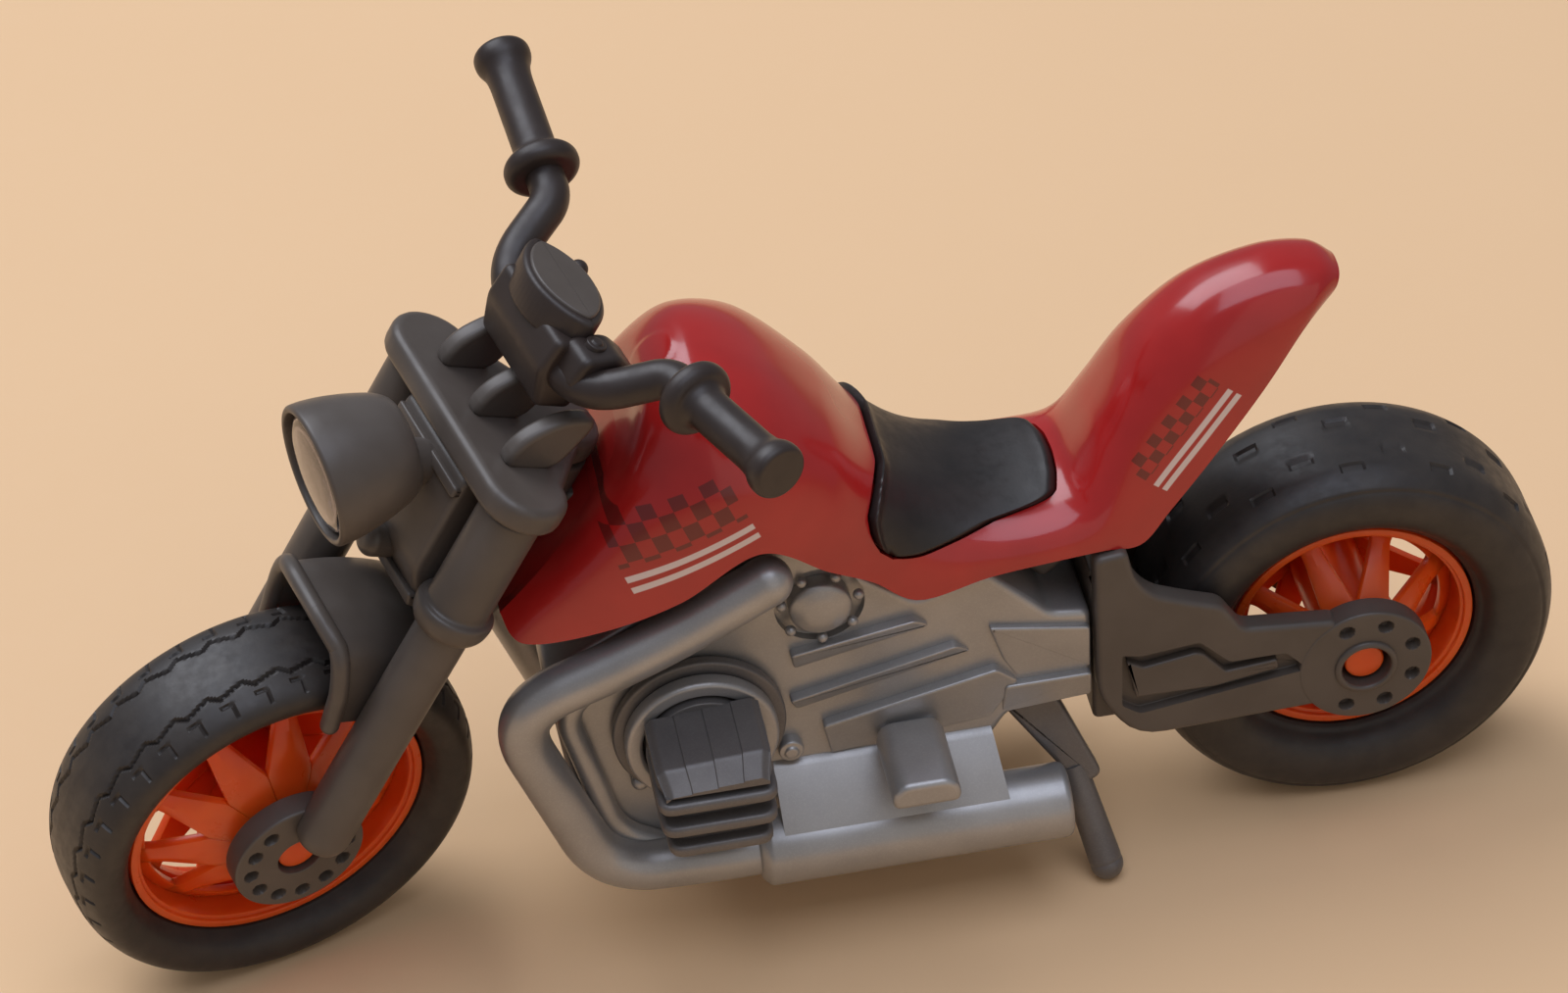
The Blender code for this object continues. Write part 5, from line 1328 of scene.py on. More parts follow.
@dataclass
class BodyShell:
    """The red tank and tail in one moulding, with the black seat set into it.

    Each section is (crown x, crown z, lower edge x, lower edge z, half width, fullness), from front to
    back, with x from the rear axle. The seat's edges are (angle round the section, section number).
    """

    sections: tuple[tuple[float, ...], ...] = (
        (73.09, 55.79, 84.76, 44.14, 8.50, 2.5), (70.15, 60.69, 83.01, 41.95, 10.99, 2.5),
        (67.94, 64.94, 75.99, 43.67, 13.20, 2.5), (63.68, 67.24, 68.00, 47.01, 14.60, 2.5),
        (57.90, 64.94, 60.01, 51.21, 14.29, 2.5), (51.69, 58.96, 53.47, 46.38, 12.80, 2.5),
        (47.48, 53.00, 48.99, 42.81, 11.30, 2.6), (43.00, 48.80, 44.51, 39.19, 10.80, 2.6),
        (37.49, 45.98, 37.49, 40.39, 10.50, 2.6), (31.98, 45.52, 31.01, 40.80, 10.21, 2.6),
        (28.31, 46.78, 25.99, 40.80, 9.80, 2.6), (25.29, 52.02, 22.21, 40.39, 9.20, 2.5),
        (21.02, 58.58, 19.02, 43.39, 8.29, 2.5), (15.03, 63.81, 14.49, 48.62, 7.50, 2.5),
        (8.01, 66.00, 9.30, 55.01, 6.40, 2.5), (2.98, 65.60, 4.98, 60.59, 4.99, 2.5),
        (0.72, 64.22, 1.69, 62.61, 2.80, 2.5),
    )
    tank_rows: int = 120
    bed_rows: int = 64
    side_points: int = 10
    over_points: int = 121
    wall: float = 1.3
    bed_extra: float = 1.6
    bed_sections: tuple[float, ...] = (5.0, 6.0, 10.0, 11.0)
    bed_step_number: float = 0.01
    bed_step_angle: float = 0.012
    cap_x: float = 12.6
    cap_above: float = 60.0
    cap_rise: float = 0.12
    cap_radius: Pair = (2.5, 3.0)
    nose_plug: Pair = (0.03, 0.9)
    tail_plug: Pair = (14.6, 15.97)
    plug_inset: float = 0.25
    plug_rows: int = 12
    seat_front: Pairs = (
        (0.0, 6.12), (15.0, 6.12), (16.5, 6.00), (22.5, 5.84), (32.0, 5.76), (50.0, 5.90), (73.0, 6.10),
        (90.0, 6.08))
    seat_rear: Pairs = (
        (0.0, 6.32), (15.0, 6.32), (18.0, 6.56), (25.0, 7.04), (36.0, 7.61), (51.0, 8.25), (57.0, 8.80),
        (60.0, 9.27), (64.0, 9.55), (78.0, 9.74), (90.0, 9.80))
    seat_rows: int = 90
    seat_points: int = 150
    seat_low: float = 15.0
    seat_low_margin: float = 1.7
    seat_end_margin: float = 0.055
    seat_depth: float = 1.3
    seat_proud: float = 0.4
    heel_rise: float = 0.4
    heel_sections: Pair = (7.6, 9.2)
    roll_depth: float = 0.9
    roll_width: float = 1.0
    collar_rise: float = 0.5
    collar_place: float = 0.9
    collar_width: float = 0.45

    def at(self, number: np.ndarray, angle: np.ndarray, grow: np.ndarray | float) -> np.ndarray:
        """Gives points of the shell.

        Section values follow a smooth curve through the sections. Round a section of fullness n the width
        goes as cos^(2/n) and the height as sin^(2/n), and x follows the height.

        Args:
            number: Section numbers, whole or fractional.
            angle: Angles in radians from the left lower edge over the crown to the right one.
            grow: Distance outwards from the shell's outer face.

        Returns:
            Points in millimetres.
        """
        values = np.moveaxis(through(np.array(self.sections), number), -1, 0)
        top_x, top_z, low_x, low_z, half, full = values
        across = np.sign(np.cos(angle)) * np.abs(np.cos(angle)) ** (2.0 / full)
        up = np.abs(np.sin(angle)) ** (2.0 / full)
        x = low_x + (top_x - low_x) * up - LAYOUT.middle_x
        return np.stack([x, (half + grow) * across, low_z + (top_z + grow - low_z) * up], axis=-1)

    def seat_edge(self, table: Pairs, angle: np.ndarray) -> np.ndarray:
        """Gives the section numbers of a seat edge, the same on both sides.

        The table is read every half degree and each value becomes the mean of the nine about it.

        Args:
            table: The edge's angles and section numbers.
            angle: Angles in radians.

        Returns:
            Section numbers.
        """
        folded = 90.0 - np.abs(90.0 - np.degrees(angle))
        degrees, numbers = np.array(table).T
        fine = np.linspace(0.0, 90.0, 181)
        kernel = np.ones(9) / 9.0
        padded = np.pad(np.interp(fine, degrees, numbers), 4, mode="edge")
        return np.interp(folded, fine, np.convolve(padded, kernel, mode="valid"))

    def shell(self) -> list[Surface]:
        """Builds the shell: its columns follow the seat's edges, and between them it sinks as the seat's bed.

        Returns:
            The wall of the shell, and the plugs that close its nose and tail.
        """
        low = math.radians(self.seat_low)
        side = np.linspace(0.0, low, self.side_points)
        over = np.linspace(low + self.bed_step_angle, math.pi - low - self.bed_step_angle, self.over_points)
        angle = np.concatenate([side, over, math.pi - side[::-1]])
        front, rear = self.seat_edge(self.seat_front, angle), self.seat_edge(self.seat_rear, angle)
        share = np.linspace(0.0, 1.0, self.bed_rows)[:, None]
        last = len(self.sections) - 1.0
        tank = np.linspace(0.0, 1.0, self.tank_rows)[:, None] * front
        step = self.bed_step_number
        bed = (front + step) + share * (rear - front - 2.0 * step)
        tail = rear + share * (last - rear)
        number = np.concatenate([tank, bed, tail])
        sunk = np.zeros_like(number)
        bed_rows = slice(self.tank_rows, self.tank_rows + self.bed_rows)
        sunk[bed_rows, self.side_points:-self.side_points] = self.seat_depth + GAP
        angles = np.broadcast_to(angle, number.shape)
        thick = self.wall + self.bed_extra * np.interp(number, self.bed_sections, [0.0, 1.0, 1.0, 0.0])
        base = self.at(number, angles, 0.0)
        from_cap = np.hypot(base[..., 0] - self.cap_x, base[..., 1])
        cap = self.cap_rise * (1.0 - smooth_step(from_cap, *self.cap_radius))
        raised = np.where(base[..., 2] > self.cap_above, cap, 0.0)
        surfaces = [walled(self.at(number, angles, raised - sunk), self.at(number, angles, -thick))]
        for ends in (self.nose_plug, self.tail_plug):
            rows = np.linspace(*ends, self.plug_rows)
            number = np.broadcast_to(rows[:, None], (len(rows), len(angle)))
            surfaces.append(skin(self.at(number, np.broadcast_to(angle, number.shape), -self.plug_inset)))
        return surfaces

    def seat(self) -> Surface:
        """Builds the seat: the shell's own surface raised, with its border rolled down into the bed.

        The roll is a square law of the distance from the border, the collar at the front is a bell curve
        of the distance from the front edge, and the heel rises by a smooth step of the section number.

        Returns:
            The closed pad.
        """
        low = math.radians(self.seat_low + self.seat_low_margin)
        angle = np.linspace(low, math.pi - low, self.seat_points)
        front = self.seat_edge(self.seat_front, angle) + self.seat_end_margin
        rear = self.seat_edge(self.seat_rear, angle) - self.seat_end_margin
        number = front + np.linspace(0.0, 1.0, self.seat_rows)[:, None] * (rear - front)
        angles = np.broadcast_to(angle, number.shape)
        base = self.at(number, angles, 0.0)
        down = np.cumsum(np.linalg.norm(np.diff(base, axis=0, prepend=base[:1]), axis=-1), axis=0)
        over = np.cumsum(np.linalg.norm(np.diff(base, axis=1, prepend=base[:, :1]), axis=-1), axis=1)
        border = np.minimum(np.minimum(down, down[-1:] - down), np.minimum(over, over[:, -1:] - over))
        roll = self.roll_depth * np.clip(1.0 - border / self.roll_width, 0.0, 1.0) ** 2
        collar = self.collar_rise * np.exp(-((down - self.collar_place) / self.collar_width) ** 2)
        heel = self.heel_rise * smooth_step(number, *self.heel_sections)
        top = self.at(number, angles, self.seat_proud - roll + collar + heel)
        return walled(top, self.at(number, angles, -self.seat_depth))

    def build(self) -> None:
        """Makes the shell and the seat."""
        make_piece("body_shell_moulding", self.shell(), RED, Body.CHASSIS, ["body_shell"])
        make_piece("seat_moulding", [self.seat()], BLACK, Body.CHASSIS, ["seat"])


@dataclass
class Engine:
    """The engine block with its cylinders, covers, footpegs and exhaust, drawn on the left side.

    Outlines, paths and places are shares of the engine's length and of the crown's height, unless a method
    says otherwise. Each strip is (outline, distance over which it falls flush, height above the block).
    """

    half: float = 9.5
    seam: float = 0.15
    outline: Pairs = (
        (0.963, 0.295), (1.000, 0.626), (0.602, 0.838), (0.546, 0.834), (0.481, 0.782), (0.398, 0.721),
        (0.319, 0.660), (0.185, 0.695), (0.074, 0.584), (0.000, 0.574), (0.000, 0.379), (0.157, 0.372),
        (0.194, 0.320), (0.546, 0.302), (0.620, 0.243), (0.861, 0.209))
    spine_half: float = 4.0
    spine_front: Pair = (0.787, 0.695)
    spine_ridge: Pair = (0.676, 0.583)
    spine_roof: Pair = (64.744, 63.544)
    spine_back: Pairs = ((0.380, 0.800), (0.193, 0.735), (0.193, 0.643))
    strips: tuple[tuple[Pairs, float, float], ...] = (
        (((0.555, 0.598), (0.325, 0.633), (0.297, 0.607), (0.547, 0.554)), 2.5, 1.2),
        (((0.562, 0.496), (0.253, 0.561), (0.224, 0.532), (0.548, 0.462)), 2.1, 1.2),
        (((0.505, 0.428), (0.180, 0.493), (0.140, 0.452), (0.192, 0.373), (0.490, 0.350)), 5.5, 1.2),
        (((0.165, 0.446), (0.004, 0.446), (0.004, 0.388), (0.170, 0.377)), 3.6, 0.9),
        (((0.190, 0.582), (0.004, 0.549), (0.004, 0.452), (0.140, 0.455), (0.165, 0.500)), 6.0, 0.7),
    )
    strip_root: float = 1.0
    strip_flush: float = 0.96
    bolt_place: Pair = (0.566, 0.383)
    bolt_profile: Pairs = (
        (0.0, 1.5), (0.6, 1.5), (0.75, 1.2), (1.2, 1.2), (1.3, 0.8), (1.3, -1.0), (0.0, -1.0))
    bead_place: Pair = (0.846, 0.362)
    bead_proud: float = 0.5
    bead_radius: float = 0.9
    rib_path: Pairs = ((0.840, 0.628), (0.975, 0.570), (0.900, 0.262), (0.800, 0.205))
    rib_bend: float = 4.0
    rib_proud: float = 0.8
    rib_radius: float = 1.25
    web_section: Pairs = (
        (8.6, 20.4), (9.9, 20.0), (15.6, 14.6), (13.0, 13.0), (8.6, 14.0))
    web_round: tuple[float, ...] = (0.2, 0.6, 0.2, 0.2, 0.2)
    web_ends: Pair = (0.195, 0.600)
    web_lean: float = 0.12
    cylinder_place: Pair = (0.730, 0.473)
    flange_radius: float = 8.6
    flange_thick: float = 1.2
    collar_radius: float = 7.6
    collar_wall: float = 1.7
    collar_length: float = 1.7
    collar_bevel: Pair = (0.3, 0.35)
    bore_bevel: Pair = (0.25, 0.3)
    head_size: Place = (11.7, 10.2, 10.6)
    head_overlap: float = 0.2
    core_share: float = 0.74
    core_short: float = 1.8
    core_inset: Pair = (0.5, 2.2)
    fins: Pairs = ((0.88, 0.5), (0.97, 0.1), (1.0, 0.0))
    fin_pitch: float = 3.0
    fin_thick: float = 1.36
    fin_corner: float = 1.6
    cap_width: float = 0.96
    cap_start: float = 0.1
    cap_short: float = 0.6
    cap_below: Pair = (0.75, 2.55)
    cap_steps: int = 4
    cap_step: Pair = (0.24, 0.10)
    cap_nose: Pair = (0.78, 1.7)
    cap_flank: Pair = (0.42, 0.5)
    cap_pinch: Pair = (0.72, 0.10)
    pipe_radius: float = 2.5
    pipe_path: Pairs = ((0.590, 0.800), (0.806, 0.692), (1.078, 0.601), (0.928, 0.203))
    pipe_bends: tuple[float, ...] = (0.0, 8.0, 6.5, 6.5, 3.0, 0.0)
    pipe_end: Pair = (3.4, -1.0)
    silencer_place: Pair = (0.648, 0.207)
    silencer_back: float = 0.065
    silencer_radius: float = 3.8
    silencer_y: float = 13.0
    mouth_share: float = 0.6
    mouth_depth: float = 2.3
    cover_place: Pair = (0.493, 0.688)
    cover_radius: float = 4.1
    cover_dome: Pairs = (
        (0.0, 1.3), (0.38, 1.2), (0.66, 0.75), (0.75, 0.4), (0.75, -1.4), (0.0, -1.4))
    groove_share: float = 0.6
    groove_room: float = 0.35
    groove_depth: float = 0.9
    groove_above: float = 1.0
    studs: int = 7
    stud_share: float = 0.95
    stud_proud: float = 0.1
    stud_radius: float = 0.55
    peg_place: Pair = (0.348, 0.4136)
    peg_size: Place = (6.8, 9.2, 3.0)
    peg_outline: Pairs = (
        (-0.5, -1.0), (0.5, -1.0), (0.5, -0.4), (0.34, 0.0), (-0.34, 0.0), (-0.5, -0.4))
    peg_overlap: float = 0.6
    root_share: float = 0.42
    root_top: float = 0.3
    root_beyond: float = 1.2

    def put(self, stem: str, surfaces: Sequence[Surface], finish: Moulding, side: Side) -> None:
        """Makes a piece of one side, from surfaces drawn on the left."""
        make_piece(side.name_of(f"{stem}_moulding"), [s.on(side) for s in surfaces], finish, Body.CHASSIS,
                   [side.name_of(stem)])

    def outboard(self, share: Pair, y: float = 0.0) -> np.ndarray:
        """Returns the frame at a place of the block's side, with its z axis pointing out to the left."""
        x, z = LAYOUT.at(*share)
        return shift(x, y, z) @ turn("x", -90.0)

    def block(self) -> list[Surface]:
        """Builds one half of the block: plate, spine, raised strips, bolt, bead, rib and the silencer's web.

        The web is its section, drawn as (y, z), carried along x; its rear end leans back as it goes out.

        Returns:
            The closed surfaces.
        """
        at, face = LAYOUT.at, self.half
        block = plate([at(*share) for share in self.outline], self.seam, face, edge=0.8, corner=0.9)
        inner, outer = self.cover_radius * self.groove_share, self.cover_radius + self.groove_room
        floor, above = face - self.groove_depth, face + self.groove_above
        groove = turned([(inner, floor), (outer, floor), (outer, above), (inner, above)], 0.1, 48, loop=True)
        parts = [carved(block, [groove.moved(self.outboard(self.cover_place))])]
        ridge = [(at(along, 0.0)[0], z) for along, z in zip(self.spine_ridge, self.spine_roof)]
        spine = [at(*self.spine_front), *ridge, *(at(*share) for share in self.spine_back)]
        parts.append(plate(spine, self.seam, self.spine_half, 0.4, 0.6))
        parts += [self.strip(*values) for values in self.strips]
        parts.append(turned(self.bolt_profile, 0.2, 40).moved(self.outboard(self.bolt_place, face)))
        bead_x, bead_z = at(*self.bead_place)
        parts.append(ball((bead_x, face + self.bead_proud, bead_z), self.bead_radius))
        route = [(x, face + self.rib_proud, z) for x, z in (at(*share) for share in self.rib_path)]
        rib = eased(route, [0.0, self.rib_bend, self.rib_bend, 0.0], 12)
        parts.append(swept(rib, self.rib_radius, (0.0, 1.0, 0.0), 24))
        ring = eased(self.web_section, self.web_round, 4, closed=True)
        y, z = (np.broadcast_to(values, (2, len(ring))) for values in ring.T)
        rear, front = (at(along, 0.0)[0] for along in self.web_ends)
        lean = self.web_lean * (ring[:, 0] - self.web_section[0][0])
        x = np.stack([rear - lean, np.full(len(ring), front)])
        parts.append(skin(np.stack([x, y, z], axis=-1)))
        return parts

    def strip(self, corners: Sequence[Pair], height: float, proud: float) -> Surface:
        """Makes a strip that stands proud along its upper edge and falls flush at its lower one.

        The outer face's distance from the block falls in proportion to the distance below the line through
        the first two corners.

        Args:
            corners: Outline as shares of the engine's length and the crown's height, upper edge first.
            height: Distance over which the strip falls flush.
            proud: Height of the upper edge above the block.

        Returns:
            The closed strip.
        """
        outline = np.array([LAYOUT.at(*corner) for corner in corners])
        raised = plate(outline, self.half - self.strip_root, self.half + proud, 0.3, 0.45)
        along = outline[1] - outline[0]
        along = along / np.linalg.norm(along)
        off = raised.points[:, [0, 2]] - outline[0]
        share = np.clip((along[0] * off[:, 1] - along[1] * off[:, 0]) / height, 0.0, 1.0)
        above = np.maximum(raised.points[:, 1] - self.half, 0.0)
        points = raised.points - np.array([0.0, 1.0, 0.0]) * (above * self.strip_flush * share)[:, None]
        return Surface(points, raised.quads, raised.flats)

    def head(self, start: float, bore: float) -> list[Surface]:
        """Builds a cylinder's head: a spigot, a core, three fins and a stepped cap.

        The cap's steps climb across it. Its nose falls in a straight line and its flanks in smooth steps.

        Args:
            start: Distance of the spigot's foot from the middle.
            bore: Inner radius of the collar.

        Returns:
            The closed surfaces.
        """
        x, z = LAYOUT.at(*self.cylinder_place)
        wide, deep, tall = self.head_size
        head = start + self.collar_length + GAP
        low, high = z - tall / 2, z + tall / 2

        def slab(share: float, short: float, bottom: float, top: float, edge: float) -> Surface:
            """Returns a level plate of a share of the head's width, short of its depth."""
            flank, end = wide * share / 2, head + deep - short
            corners = [(x - flank, head), (x + flank, head), (x + flank, end), (x - flank, end)]
            return plate(corners, bottom, top, edge, self.fin_corner, Plane.TOP)

        foot, end = bore - GAP, head + self.head_overlap
        spigot = turned([(0.0, start), (foot, start), (foot, end), (0.0, end)], 0.2)
        under, over = self.core_inset
        parts = [spigot.moved(self.outboard(self.cylinder_place)),
                 slab(self.core_share, self.core_short, low + under, high - over, 0.3)]
        for index, (share, short) in enumerate(self.fins):
            bottom = low + index * self.fin_pitch
            parts.append(slab(share, short, bottom, bottom + self.fin_thick, 0.5))
        across, out = np.linspace(-0.5, 0.5, 97)[:, None], np.linspace(0.0, 1.0, 49)[None, :]
        climb = (0.5 - across) * self.cap_steps * 0.9999
        stepped = self.cap_step[0] * np.floor(climb) + self.cap_step[1] * np.mod(climb, 1.0)
        nose = self.cap_nose[1] * np.clip((out - self.cap_nose[0]) / (1.0 - self.cap_nose[0]), 0.0, 1.0)
        flank = self.cap_flank[1] * smooth_step(np.abs(across), self.cap_flank[0], 0.5)
        top = high - self.cap_below[0] + stepped - nose - flank
        pinch = 1.0 - self.cap_pinch[1] * smooth_step(out, self.cap_pinch[0], 1.0)
        plan_x = x + wide * self.cap_width * across * pinch
        plan_y = head + self.cap_start + (deep - self.cap_short) * out + 0.0 * across
        under = np.full_like(top, high - self.cap_below[1])
        upper, lower = (np.stack([plan_x, plan_y, height], axis=-1) for height in (top, under))
        parts.append(walled(upper, lower))
        return parts

    def cylinder(self, side: Side) -> None:
        """Builds one cylinder: flange, collar ring and a head of stacked fins under a stepped cap.

        Args:
            side: Side of the cylinder.
        """
        place, face, r = self.outboard(self.cylinder_place), self.half + GAP, self.collar_radius
        back = face + self.flange_thick
        rim = self.flange_radius
        flange = turned([(0.0, face), (rim, face), (rim, back), (0.0, back)], 0.35, 96)
        self.put("cylinder_flange", [flange.moved(place)], GREY, side)
        start, bore = back + GAP, r - self.collar_wall
        end, (out, up), (room, sink) = start + self.collar_length, self.collar_bevel, self.bore_bevel
        collar = turned([(bore, start), (r, start), (r, end - up), (r - out, end), (bore + room, end),
                         (bore, end - sink)], 0.25, 96, loop=True)
        self.put("cylinder_collar", [collar.moved(place)], SILVER, side)
        self.put("cylinder_head", self.head(start, bore), GREY, side)

    def exhaust(self, side: Side) -> None:
        """Builds the looped header pipe and the silencer.

        Args:
            side: Side of the exhaust.
        """
        y = self.half + GAP + self.pipe_radius
        front, z = LAYOUT.at(*self.silencer_place)
        back = LAYOUT.at(self.silencer_back, 0.0)[0]
        corners = [(px, y, pz) for px, pz in (LAYOUT.at(*share) for share in self.pipe_path)]
        corners += [(front + run, self.silencer_y, z) for run in self.pipe_end]
        path = eased(corners, self.pipe_bends, 14)
        run = np.concatenate([[0.0], np.cumsum(np.linalg.norm(np.diff(path, axis=0), axis=1))])
        even = np.linspace(0.0, run[-1], 120)
        fine = np.stack([np.interp(even, run, path[:, axis]) for axis in range(3)], axis=1)
        pipe = [swept(fine, self.pipe_radius, (0.0, 1.0, 0.0), 40), ball(corners[0], self.pipe_radius)]
        self.put("header_pipe", pipe, SILVER, side)
        r, floor = self.silencer_radius, back + self.mouth_depth
        mouth = r * self.mouth_share
        profile = [(0.0, front), (r - 0.9, front), (r, front - 0.9), (r, back + 0.5), (r - 0.4, back),
                   (mouth, back), (mouth, floor), (0.0, floor)]
        silencer = turned(profile, 0.4, 96).moved(shift(0.0, self.silencer_y, z) @ turn("y", 90.0))
        self.put("silencer", [silencer], SILVER, side)

    def cover(self, side: Side) -> None:
        """Builds the domed round cover, drawn as (share of its radius, height), with its ring of studs.

        Args:
            side: Side of the cover.
        """
        face, r, place = self.half + GAP, self.cover_radius, self.outboard(self.cover_place)
        dome = turned([(r * share, face + up) for share, up in self.cover_dome], 0.5, 72)
        x, z = LAYOUT.at(*self.cover_place)
        ring = self.stud_share * r
        angles = FULL_TURN * (np.arange(self.studs) + 0.5) / self.studs
        middle_y = face + self.stud_proud
        studs = [ball((x + ring * math.sin(a), middle_y, z + ring * math.cos(a)), self.stud_radius)
                 for a in angles]
        self.put("clutch_cover", [dome.moved(place), *studs], SILVER, side)

    def footpeg(self, side: Side) -> None:
        """Builds the footpeg, outlined in shares of its width and thickness, and the root that carries it.

        Args:
            side: Side of the footpeg.
        """
        wide, deep, thick = self.peg_size
        x, top = LAYOUT.at(*self.peg_place)
        start, flank = self.half + self.root_beyond + GAP, wide * self.root_share
        low, high = top - thick + GAP, top - thick * self.root_top
        outline = [(x + wide * across, top + thick * up) for across, up in self.peg_outline]
        peg = plate(outline, start - self.peg_overlap, start + deep, 0.6, 2.0)
        root = plate([(x - flank, low), (x + flank, low), (x + flank, high), (x - flank, high)], self.half,
                     start + self.peg_overlap, 0.2, 0.5)
        self.put("footpeg", [peg, root], SILVER, side)

    def build(self) -> None:
        """Makes both sides of the engine."""
        block = self.block()
        for side in Side:
            self.put("engine_half", block, SILVER, side)
            self.cylinder(side)
            self.exhaust(side)
            self.cover(side)
            self.footpeg(side)


@dataclass
class RearEnd:
    """Swing arms with their discs, the bridge, the tail spar, the head tube and the side stand.

    The arm's outlines are shares of its length and of the crown's height, its tip is in shares of the disc's
    radius from the axle, and the blade of the stand is in shares of the stand's radius from its pivot.
    """

    near: float = 8.1
    arm_thick: float = 2.5
    arm_upper: Pairs = (
        (1.000, 0.385), (1.000, 0.700), (0.880, 0.707), (0.852, 0.640), (0.788, 0.601), (0.630, 0.568),
        (0.532, 0.551), (0.458, 0.492))
    arm_tip: Pairs = ((0.42, 0.92), (0.42, -0.62))
    arm_heel: Pair = (0.860, 0.281)
    arm_round: tuple[float, ...] = (2.5, 0.8, 0.8, 1.6, 2.2, 2.2, 0.9, 0.9, 0.8, 0.8, 3.0)
    pocket: Pairs = (
        (0.908, 0.478), (0.841, 0.470), (0.619, 0.480), (0.508, 0.424), (0.300, 0.424), (0.215, 0.378),
        (0.845, 0.338), (0.912, 0.362))
    pocket_depth: float = 1.1
    pocket_above: float = 2.0
    rib: Pairs = (
        (0.890, 0.458), (0.826, 0.440), (0.634, 0.454), (0.603, 0.448), (0.523, 0.401), (0.330, 0.409),
        (0.325, 0.388), (0.567, 0.370), (0.859, 0.374))
    rib_below: float = 0.15
    axle_z: float = 21.0
    disc_radius: float = 6.8
    disc_thick: float = 2.6
    bore: float = 2.5
    hole_degrees: tuple[float, ...] = (-112.5, -67.5, -157.5, 157.5, 112.5, 67.5)
    boss_radius: float = 3.2
    boss_proud: float = 0.45
    boss_bevel: Pair = (0.3, 0.2)
    bridge_length: float = 5.0
    bridge_back: Pair = (16.975, 29.979)
    bridge_front: Pair = (0.295, 0.643)
    spar: Pairs = (
        (0.000, 0.652), (0.069, 0.594), (0.170, 0.702), (0.139, 0.720), (-0.037, 0.732), (-0.204, 0.965),
        (-0.250, 0.930), (-0.102, 0.704))
    spar_half: float = 5.0
    head_bore: float = 2.3
    head_radius: float = 4.3
    head_ends: Pair = (31.2, 47.2)
    gusset_behind: float = 3.3
    gusset_ends: Pair = (44.0, 32.2)
    gusset_foot: Pairs = ((0.981, 0.650), (0.789, 0.751), (0.759, 0.869))
    gusset_half: float = 3.0
    pivot: Place = (-21.535, 6.6, 18.989)
    knee: Place = (-5.292, 2.424, -9.495)
    foot: Place = (-27.829, 12.6, 1.7)
    stand_radius: float = 1.7
    blade: Pairs = ((1.75, 0.9), (-1.65, 0.9), (-4.0, -4.9), (-2.5, -5.5))
    blade_half: float = 0.7
    leg_start: float = 0.72
    leg_taper: Pair = (0.86, 0.14)
    leg_tip: Pair = (0.72, 0.28)
    tip_length: float = 0.6

    def arm(self) -> list[Surface]:
        """Builds the left arm: an eased plate with a pocket and rib, and the drilled disc with its boss.

        Returns:
            The closed surfaces.
        """
        on_arm, r, bore = LAYOUT.on_arm, self.disc_radius, self.bore
        axle_x, z = -LAYOUT.middle_x, self.axle_z
        far = self.near + self.arm_thick
        floor = far - self.pocket_depth
        tip = [(axle_x + r * along, z + r * up) for along, up in self.arm_tip]
        outline = [*(on_arm(*share) for share in self.arm_upper), *tip, on_arm(*self.arm_heel)]
        blank = plate(outline, self.near, far, 0.55, self.arm_round)
        recess = plate([on_arm(*share) for share in self.pocket], floor, far + self.pocket_above, 0.1, 0.4)
        rib = plate([on_arm(*share) for share in self.rib], floor - GAP, far - self.rib_below, 0.25, 0.3)
        base, top, (inwards, down) = self.disc_thick - GAP, self.disc_thick + self.boss_proud, self.boss_bevel
        boss = turned([(bore, base), (self.boss_radius, base), (self.boss_radius, top - down),
                       (self.boss_radius - inwards, top), (bore + down, top), (bore, top - down)], 0.15, 64,
                      loop=True)
        disc = drilled_disc(r, bore, self.disc_thick, np.radians(np.array(self.hole_degrees)))
        outboard = shift(axle_x, self.near, z) @ turn("x", -90.0)
        return [carved(blank, [recess]), rib, disc.moved(outboard), boss.moved(outboard)]

    def stand(self) -> list[Surface]:
        """Builds the side stand: a flat blade at its pivot that becomes a round leg.

        The leg's radius grows in proportion along it and closes over the tip as a quarter circle.

        Returns:
            The blade, the leg and the round foot.
        """
        pivot, knee, wide = np.array(self.pivot), np.array(self.knee), self.stand_radius
        corners = wide * np.array(self.blade)
        blade = plate(corners, -self.blade_half * wide, self.blade_half * wide, 0.5, 1.0)
        lean = math.degrees(math.atan2(knee[1], -knee[2]))
        start, foot = self.leg_start * knee, np.array(self.foot) - pivot
        t = np.linspace(0.0, 1.0, 40)
        path = start + t[:, None] * (foot - start)
        left = np.linalg.norm(path - foot, axis=1)
        tip = np.sqrt(1.0 - np.clip(1.0 - left / self.tip_length, 0.0, 0.97) ** 2)
        (narrow, grow), (blunt, full) = self.leg_taper, self.leg_tip
        leg = swept(path, wide * (narrow + grow * t) * (blunt + full * tip), (0.0, 1.0, 0.3))
        return [blade.moved(shift(*pivot) @ turn("x", lean)), leg.moved(shift(*pivot)), ball(self.foot, wide)]

    def head(self) -> list[Surface]:
        """Builds the head tube about the steering axis, and the gusset that joins it to the engine.

        Returns:
            The tube and the gusset.
        """
        axis, (low, high) = LAYOUT.steering_axis(), self.head_ends
        tube = turned([(self.head_bore, high), (self.head_radius, high), (self.head_radius, low),
                       (self.head_bore, low)], 0.3, loop=True)
        ends = [(axis @ np.array([-self.gusset_behind, 0.0, z, 1.0]))[[0, 2]] for z in self.gusset_ends]
        outline = [*ends, *(LAYOUT.at(*share) for share in self.gusset_foot)]
        return [tube.moved(axis), plate(outline, -self.gusset_half, self.gusset_half, 0.4, 0.6)]

